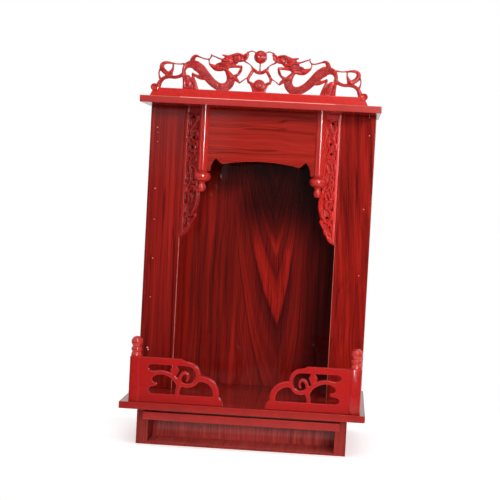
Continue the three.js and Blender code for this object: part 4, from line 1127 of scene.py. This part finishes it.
def buildCrest():
    look = crestShape
    origin = (look["shift"], look["roof"])
    front, back = look["front"], look["back"]
    pieces = []
    for side in (1, -1):
        for name, line in crestFigures.items():
            pieces.append(ribbon(name, line, front + 0.5, back, 99, look["dome"], side, origin))
        for name, line in crestThin.items():
            pieces.append(ribbon(name, line, front + look["recess"], back, 99, look["thinDome"], side, origin))
        for name, line in crestRelief.items():
            pieces.append(ribbon(name, line, front - 0.1, back - 4, 99, 1.5, side, origin))
        # the eye's bulging ball, then the nostril and the row of beads along the jaw
        for across, up, radius in look["beads"]:
            pieces.append(bead("bead", across, up, front + 2.2, radius, 0.5, side, origin))
        across, up, radius = look["boss"]
        ring, width = look["bossRing"]
        pieces.append(cutPlate("boss", discOutline(across, up, radius), front + 1.4, back, side, origin,
                               0.9, 3))
        pieces.append(ribbon("bossRing", circleLine(across, up, ring, 24, width), front + 0.3, back - 3,
                             99, 1.2, side, origin))
        for across, up, radius, turns, width in look["curls"]:
            curl = []
            for k in range(25):
                turn, reach = 0.4 * math.pi + turns * 2 * math.pi * k / 24, radius * (1 - k / 30)
                curl.append([across + reach * math.cos(turn), up + reach * math.sin(turn), width])
            pieces.append(ribbon("curl", curl, front - 0.3, back - 4, 99, 1.5, side, origin))
        # a bead in the last curl
        pieces.append(bead("curlBead", across, up, front + 2.0, look["curlBead"], 0.7, side, origin))
    for name, line in crestMiddle.items():
        pieces.append(ribbon(name, line, front + (2.5 if name == "stem" else 1.0), back, 99, 3.0,
                             1, origin, 0.3))
    pieces.append(cutPlate("bowl", crestBowl, front + 3.2, back, 1, origin, 0.8, 2))
    for across, up, radius in (look["pearl"], look["mound"]):
        pieces.append(cutPlate("disc", discOutline(across, up, radius - 0.1), front + 3.0, back,
                               1, origin, 1.6, 4))
        pieces.append(bead("dome", across, up, front + 3.4, radius - 1.2, 3.3 / (radius - 1.2), 1, origin))
    crest = fuse(pieces, "crest_dragons_and_pearl", look["voxel"], look["passes"], look["most"])

    # gouge work: rings on the pearl, petals and a rosette on the mound, mane and scales on the dragons
    pearl = look["pearl"]
    spiral = []
    for turn in range(0, 451, 30):
        reach = look["pearlSpiral"] * turn / 450
        spiral.append([reach * math.cos(math.radians(turn)), pearl[1] + reach * math.sin(math.radians(turn))])
    petals = [[[-2.6 * k, 17.6], [-3.4 * k, 21]] for k in (-2.4, -1.2, 0, 1.2, 2.4)]
    rosette = [circleLine(0, look["rosetteMiddle"], radius, step) for radius, step in look["rosette"]]
    middle = [circleLine(0, pearl[1], look["pearlRing"], 20), spiral] + petals + rosette
    gouge(crest, middle, 1.4, 0.8, 1, origin)
    across, up, radius = look["beads"][0]
    locks = [[[56 + 2 * k, 64 - 3.1 * k], [63 + 2 * k, 64.6 - 3 * k], [72, 62 - 2.6 * k]] for k in range(4)]
    for side in (1, -1):
        gouge(crest, [circleLine(across, up, look["eyeRing"], 24)] + locks + crestCuts, 1.5, 1.1, side, origin)
        scaleSkin(crest, crestFigures["body"][2:], look["bodyWidth"], side, origin)
        scaleSkin(crest, crestFigures["haunch"][:3], look["haunchWidth"], side, origin)
    soften(crest, 1, look["most"])
    # the figures end on the rail's top edge; their feet below it stay behind the rail's face
    places = readPlaces(crest)
    low = ((places[:, 2] - origin[1] < look["footTop"])
           & (numpy.abs(places[:, 0] - origin[0]) < look["footReach"]))
    places[low, 1] = numpy.maximum(places[low, 1], front + 2.0)
    writePlaces(crest, places)
    rail = cutPlate("rail", look["rail"], front + 1.0, back, 1, origin, 0.9, 3)
    useModifier(rail, 'WEIGHTED_NORMAL', {"mode": 'FACE_AREA', "weight": 80, "keep_sharp": True})
    for piece, material in ((crest, carvedLacquer), (rail, railLacquer)):
        piece.data.materials.append(material)
    return joinPieces([crest, rail], "crest_dragons_and_pearl")


def scaleSkin(obj, line, width, side, origin):
    # overlapping scales in staggered rows along a body: each rises towards its tip and drops to the next
    length, rows, height = crestShape["scaleLength"], crestShape["scaleRows"], crestShape["scaleHeight"]
    places = readPlaces(obj)
    spots = numpy.stack([(places[:, 0] - origin[0]) * side, places[:, 2] - origin[1]], axis=1)
    samples = smoothLine(line, 0.8)
    centres = numpy.array([point[:2] for point in samples])
    run = numpy.concatenate([[0], numpy.cumsum(numpy.linalg.norm(numpy.diff(centres, axis=0), axis=1))])
    tangents = numpy.gradient(centres, axis=0)
    tangents /= numpy.linalg.norm(tangents, axis=1)[:, None]
    low, high = centres.min(axis=0) - width, centres.max(axis=0) + width
    near = numpy.where(((spots > low) & (spots < high)).all(axis=1))[0]
    gaps = numpy.linalg.norm(spots[near][:, None, :] - centres[None, :, :], axis=2)
    best = gaps.argmin(axis=1)
    offset = spots[near] - centres[best]
    aside = offset[:, 0] * -tangents[best, 1] + offset[:, 1] * tangents[best, 0]
    along = run[best] + offset[:, 0] * tangents[best, 0] + offset[:, 1] * tangents[best, 1]
    lane = aside / (width / rows)
    inside = numpy.clip((width / 2 - numpy.abs(aside)) / 1.5, 0, 1)
    ends = numpy.clip(numpy.minimum(along, run[-1] - along) / 3.0, 0, 1)
    scaleHeight = numpy.zeros(len(near))
    for parity in (0, 1):
        shift = lane + 0.5 * parity
        sideways = (shift - numpy.floor(shift)) * 2 - 1
        step = along / length + 0.5 * parity
        share = step - numpy.floor(step)
        shape = share - 0.75 * sideways ** 2
        scaleHeight = numpy.maximum(scaleHeight, numpy.where(shape > 0, shape, 0))
    where = frontShare(obj)[near] * inside * ends
    places[near, 1] += where * height * (0.55 - scaleHeight)
    # painted shade in the valleys between the scales
    dark = numpy.zeros(len(places))
    dark[near] = where * numpy.clip((0.5 - scaleHeight) / 0.3, 0, 1)
    paintCreaseShade(obj, dark)
    writePlaces(obj, places)


crest = buildCrest()
finishPiece(crest, ["crest"], [])
print("crest carved:", len(crest.data.polygons), "faces")


# brackets: a pierced ground under a scrolling vine, leaves that lap over it, plain strips at the rims

bracketShape = {
    "axis": 105.5, "foot": 352.0, "front": 19.6, "back": 28.5, "ground": 24.8, "voxel": 0.56,
    "passes": 3, "most": 120000,
    "outline": [(35.4, 236), (7.5, 236), (7.5, 88), (4.6, 85.5), (2.8, 82), (1.9, 76), (2.0, 70), (3, 64),
                (4.2, 58), (5.5, 52), (7.4, 45.5), (5.6, 41), (7.5, 36.8), (12, 34), (13.2, 30), (14, 26),
                (14.6, 19), (20, 16.5), (21, 9), (23.5, 5.5), (27, 3), (31, 1.3), (35.4, 0.3)],
    "outerStrip": [(29.3, 236), (29.3, 6), (31, 1.4), (35.4, 0.3), (35.4, 236)],
    "topStrip": [(7.5, 236), (7.5, 225.5), (30, 225.5), (30, 236)],
    "innerStrip": [(7.6, 236), (7.6, 92), (10.6, 92), (10.6, 236)],
    "holes": [(21, 219, 2.2), (18.5, 182, 2.0), (20.5, 164, 2.0), (14.5, 109, 2.1), (20, 85, 2.2),
              (19.3, 49, 2.2), (24.3, 205, 1.2), (14.0, 146, 1.2), (25.6, 122, 1.3), (27, 64, 1.3),
              (13.4, 198, 1.0), (24.3, 32, 1.2)],
    "ridge": [[31.4, 234, 3.6], [31.4, 120, 3.6], [31.4, 8, 3.6]],
    # the bead under the big leaf, then small buds beside the holes
    "buds": [(9.4, 41, 3.7), (13.4, 189, 2.4), (17.6, 168, 1.9), (28, 152, 1.8), (11.8, 132, 1.8),
             (27.8, 122, 1.8), (27.6, 72, 2.0), (12.8, 158, 1.7), (27.6, 196, 1.8), (21.4, 213, 1.9),
             (26.6, 17, 1.8)],
}
bracketLines = {
    "vine": [[18, 228, 2.4], [15, 219, 2.8], [17.5, 208, 3], [23, 198, 3], [24.3, 187, 3], [18.6, 173.5, 3],
             [15, 163, 3], [15.8, 152, 3], [21.5, 143, 3], [24.6, 132, 3], [22, 121, 3], [20.8, 110, 3],
             [22.6, 100, 3], [25.2, 89, 3], [24, 77, 3], [22.5, 66, 3], [25.4, 54, 2.8], [25.2, 42, 2.8],
             [21.5, 31, 2.8], [24, 20, 2.6], [29.5, 9, 2.4]],
    "leaf01": [[16.5, 209, 2], [13, 213, 4.6], [13.4, 220, 4.4], [18.5, 224, 3.4], [24, 223.5, 2.4],
               [26.4, 219.5, 1.6]],
    "leaf02": [[21.5, 201, 2], [26, 204.5, 4.4], [27.3, 211.5, 4.2], [24.3, 215.6, 1.6]],
    "leaf03": [[22.5, 190, 2], [18, 194.5, 4.4], [13.6, 192, 4.6], [12.8, 185, 4], [15, 180, 1.8]],
    "leaf04": [[23.3, 184, 2], [27.8, 181, 4.2], [28, 174, 4], [24.6, 169.2, 1.8]],
    "leaf05": [[18, 173, 2], [13.4, 175.5, 3.8], [11.9, 170, 3.6], [12.2, 163.5, 1.6]],
    "leaf06": [[15.6, 159, 2], [19, 157, 4.2], [24, 158, 4.4], [27.3, 162.5, 3], [26.8, 167, 1.4]],
    "leaf07": [[15.6, 152, 2], [12, 147, 4], [12.6, 139.5, 4.2], [15.8, 134.6, 2]],
    "leaf08": [[21.5, 143, 2], [25.6, 149, 4], [28.3, 144, 4], [28.2, 136, 2]],
    "leaf09": [[24, 129, 2], [18.4, 130.5, 4.4], [14.2, 126.5, 4.6], [13, 119.5, 3.6], [15.6, 115, 1.6]],
    "leaf10": [[21.3, 117, 2], [25.8, 115.5, 4.2], [27.6, 109.5, 4.2], [25.6, 103, 1.8]],
    "leaf11": [[20.8, 105, 2], [17, 100.5, 4.2], [12.8, 99.8, 4], [10.8, 104.5, 1.8]],
    "leaf12": [[24.8, 93, 2], [28.4, 96.5, 3.8], [28.6, 90, 3.8], [27.4, 82.5, 1.8]],
    "leaf13": [[23, 82, 2], [17.5, 94, 3.4], [13.5, 90, 3.8], [14.5, 83, 2]],
    "leaf14": [[24, 76, 2], [20.8, 78.4, 4.4], [16.4, 74.5, 4.8], [16.4, 67, 4], [20, 63.6, 1.8]],
    "leaf15": [[24.6, 58, 2], [28, 60, 3.8], [28.4, 53, 4], [27.4, 46, 2]],
    "leaf16": [[25, 46, 2], [21.8, 41.4, 4.2], [17, 40.4, 4.2], [13.8, 44, 1.8]],
    "leaf17": [[22, 34, 2], [26.8, 37, 3.8], [28, 30.5, 3.6], [27.6, 24.5, 1.8]],
    "leaf18": [[22.3, 28, 2], [19.8, 22.5, 3.6], [22.6, 19.5, 2]],
    "bigLeaf": [[14.8, 93, 3], [8.6, 87, 6.4], [6.4, 76.5, 8.8], [7.6, 63.5, 10], [11, 52, 7.4],
                [14.8, 45.4, 3]],
    "lobeUpper": [[9.4, 36.6, 3.4], [14.2, 31.5, 6.2], [17.3, 24.5, 6.6], [18.6, 18, 3.6]],
    "lobeLower": [[20.6, 17, 3.6], [23.6, 11.8, 6.2], [28.4, 7, 6.6], [33, 4.2, 4.4]],
}
bracketRibs = [
    [[13, 214], [14.4, 220], [19.5, 223.3], [25, 222.8]], [[24.5, 203.5], [27, 208], [26, 213.5]],
    [[19.5, 193.6], [14.6, 191.5], [13.4, 185]], [[26.5, 181.4], [27.8, 176], [25.6, 171]],
    [[14.5, 174.4], [12.4, 170]],
    [[19, 157.6], [24, 158.8], [27, 163.4]], [[13.4, 149], [12.6, 142], [15, 136.4]],
    [[25, 147], [27.8, 143], [28, 137.6]],
    [[20, 130], [15.2, 126.4], [13.8, 119.4]], [[24.4, 115.4], [27, 110], [25.8, 105]],
    [[18.4, 101.6], [13.4, 100.4]],
    [[27.2, 95], [28.2, 90], [27.4, 84.4]], [[21.6, 77.6], [17.2, 74], [17, 67.4]],
    [[26.8, 58.8], [28, 53.6], [27.4, 48]],
    [[22.6, 42.4], [17.4, 41.2]], [[25.4, 36], [27.4, 31], [27.4, 26]],
    [[12.6, 91], [8, 84], [6.4, 75], [7.4, 63], [11, 53]], [[10.6, 86], [12.5, 76], [12, 64], [12.6, 55]],
    [[8, 85], [4.4, 82.4]], [[6.7, 77], [2.6, 73]], [[6.6, 68.6], [2.8, 64]], [[8, 60.6], [4.4, 56]],
    [[8, 82], [12, 77.6]],
    [[6.8, 73], [11.6, 68.4]], [[7.4, 64.6], [12, 60]],
    [[11.4, 35.6], [15.4, 30.5], [18, 21.4]], [[21.8, 14.6], [26, 9.4], [32, 5]],
]


def buildBracket():
    look = bracketShape
    origin = (look["axis"], look["foot"])
    ground = cutPlate("ground", look["outline"], look["ground"], look["back"], 1, origin)
    drills = []
    for across, up, radius in look["holes"]:
        clearSelection()
        bpy.ops.mesh.primitive_cylinder_add(vertices=20, radius=radius * mm, depth=30 * mm,
                                            location=((origin[0] + across) * mm, look["ground"] * mm,
                                                      (origin[1] + up) * mm),
                                            rotation=(math.radians(90), 0, 0))
        drills.append(bpy.context.object)
    drill = joinPieces(drills, "drill")
    useModifier(ground, 'BOOLEAN', {"operation": 'DIFFERENCE', "object": drill, "solver": 'EXACT'})
    bpy.data.objects.remove(drill)
    pieces = [ground]
    for name, line in bracketLines.items():
        # the vine runs behind its leaves
        proud = 1.2 if name == "vine" else 0.0
        pieces.append(ribbon(name, line, look["front"] + proud, look["ground"] + 1.4, 99, 2.8, 1, origin))
    for name, depth in (("outerStrip", 0.6), ("topStrip", 0.8), ("innerStrip", 1.6)):
        pieces.append(cutPlate(name, look[name], look["front"] + depth, look["ground"] + 1.4,
                               1, origin, 0.5, 2))
    # the ridge on the outer strip
    pieces.append(ribbon("ridge", look["ridge"], look["front"] + 0.2, look["ground"], 99, 0.5, 1, origin))
    for across, up, radius in look["buds"]:
        pieces.append(bead("bud", across, up, look["front"] + 1.7, radius, 0.7, 1, origin))
    bracket = fuse(pieces, "bracket", look["voxel"], look["passes"], look["most"])
    gouge(bracket, bracketRibs, 1.2, 0.9, 1, origin)
    return soften(bracket, 1, look["most"])


rightBracket = buildBracket()
leftBracket = mirrored(rightBracket, "left_bracket_carved")
rightBracket.name = "right_bracket_carved"
finishPiece(rightBracket, ["right_bracket"], [bracketLacquer])
finishPiece(leftBracket, ["left_bracket"], [shadedLacquer])
print("brackets carved:", len(rightBracket.data.polygons), "faces")
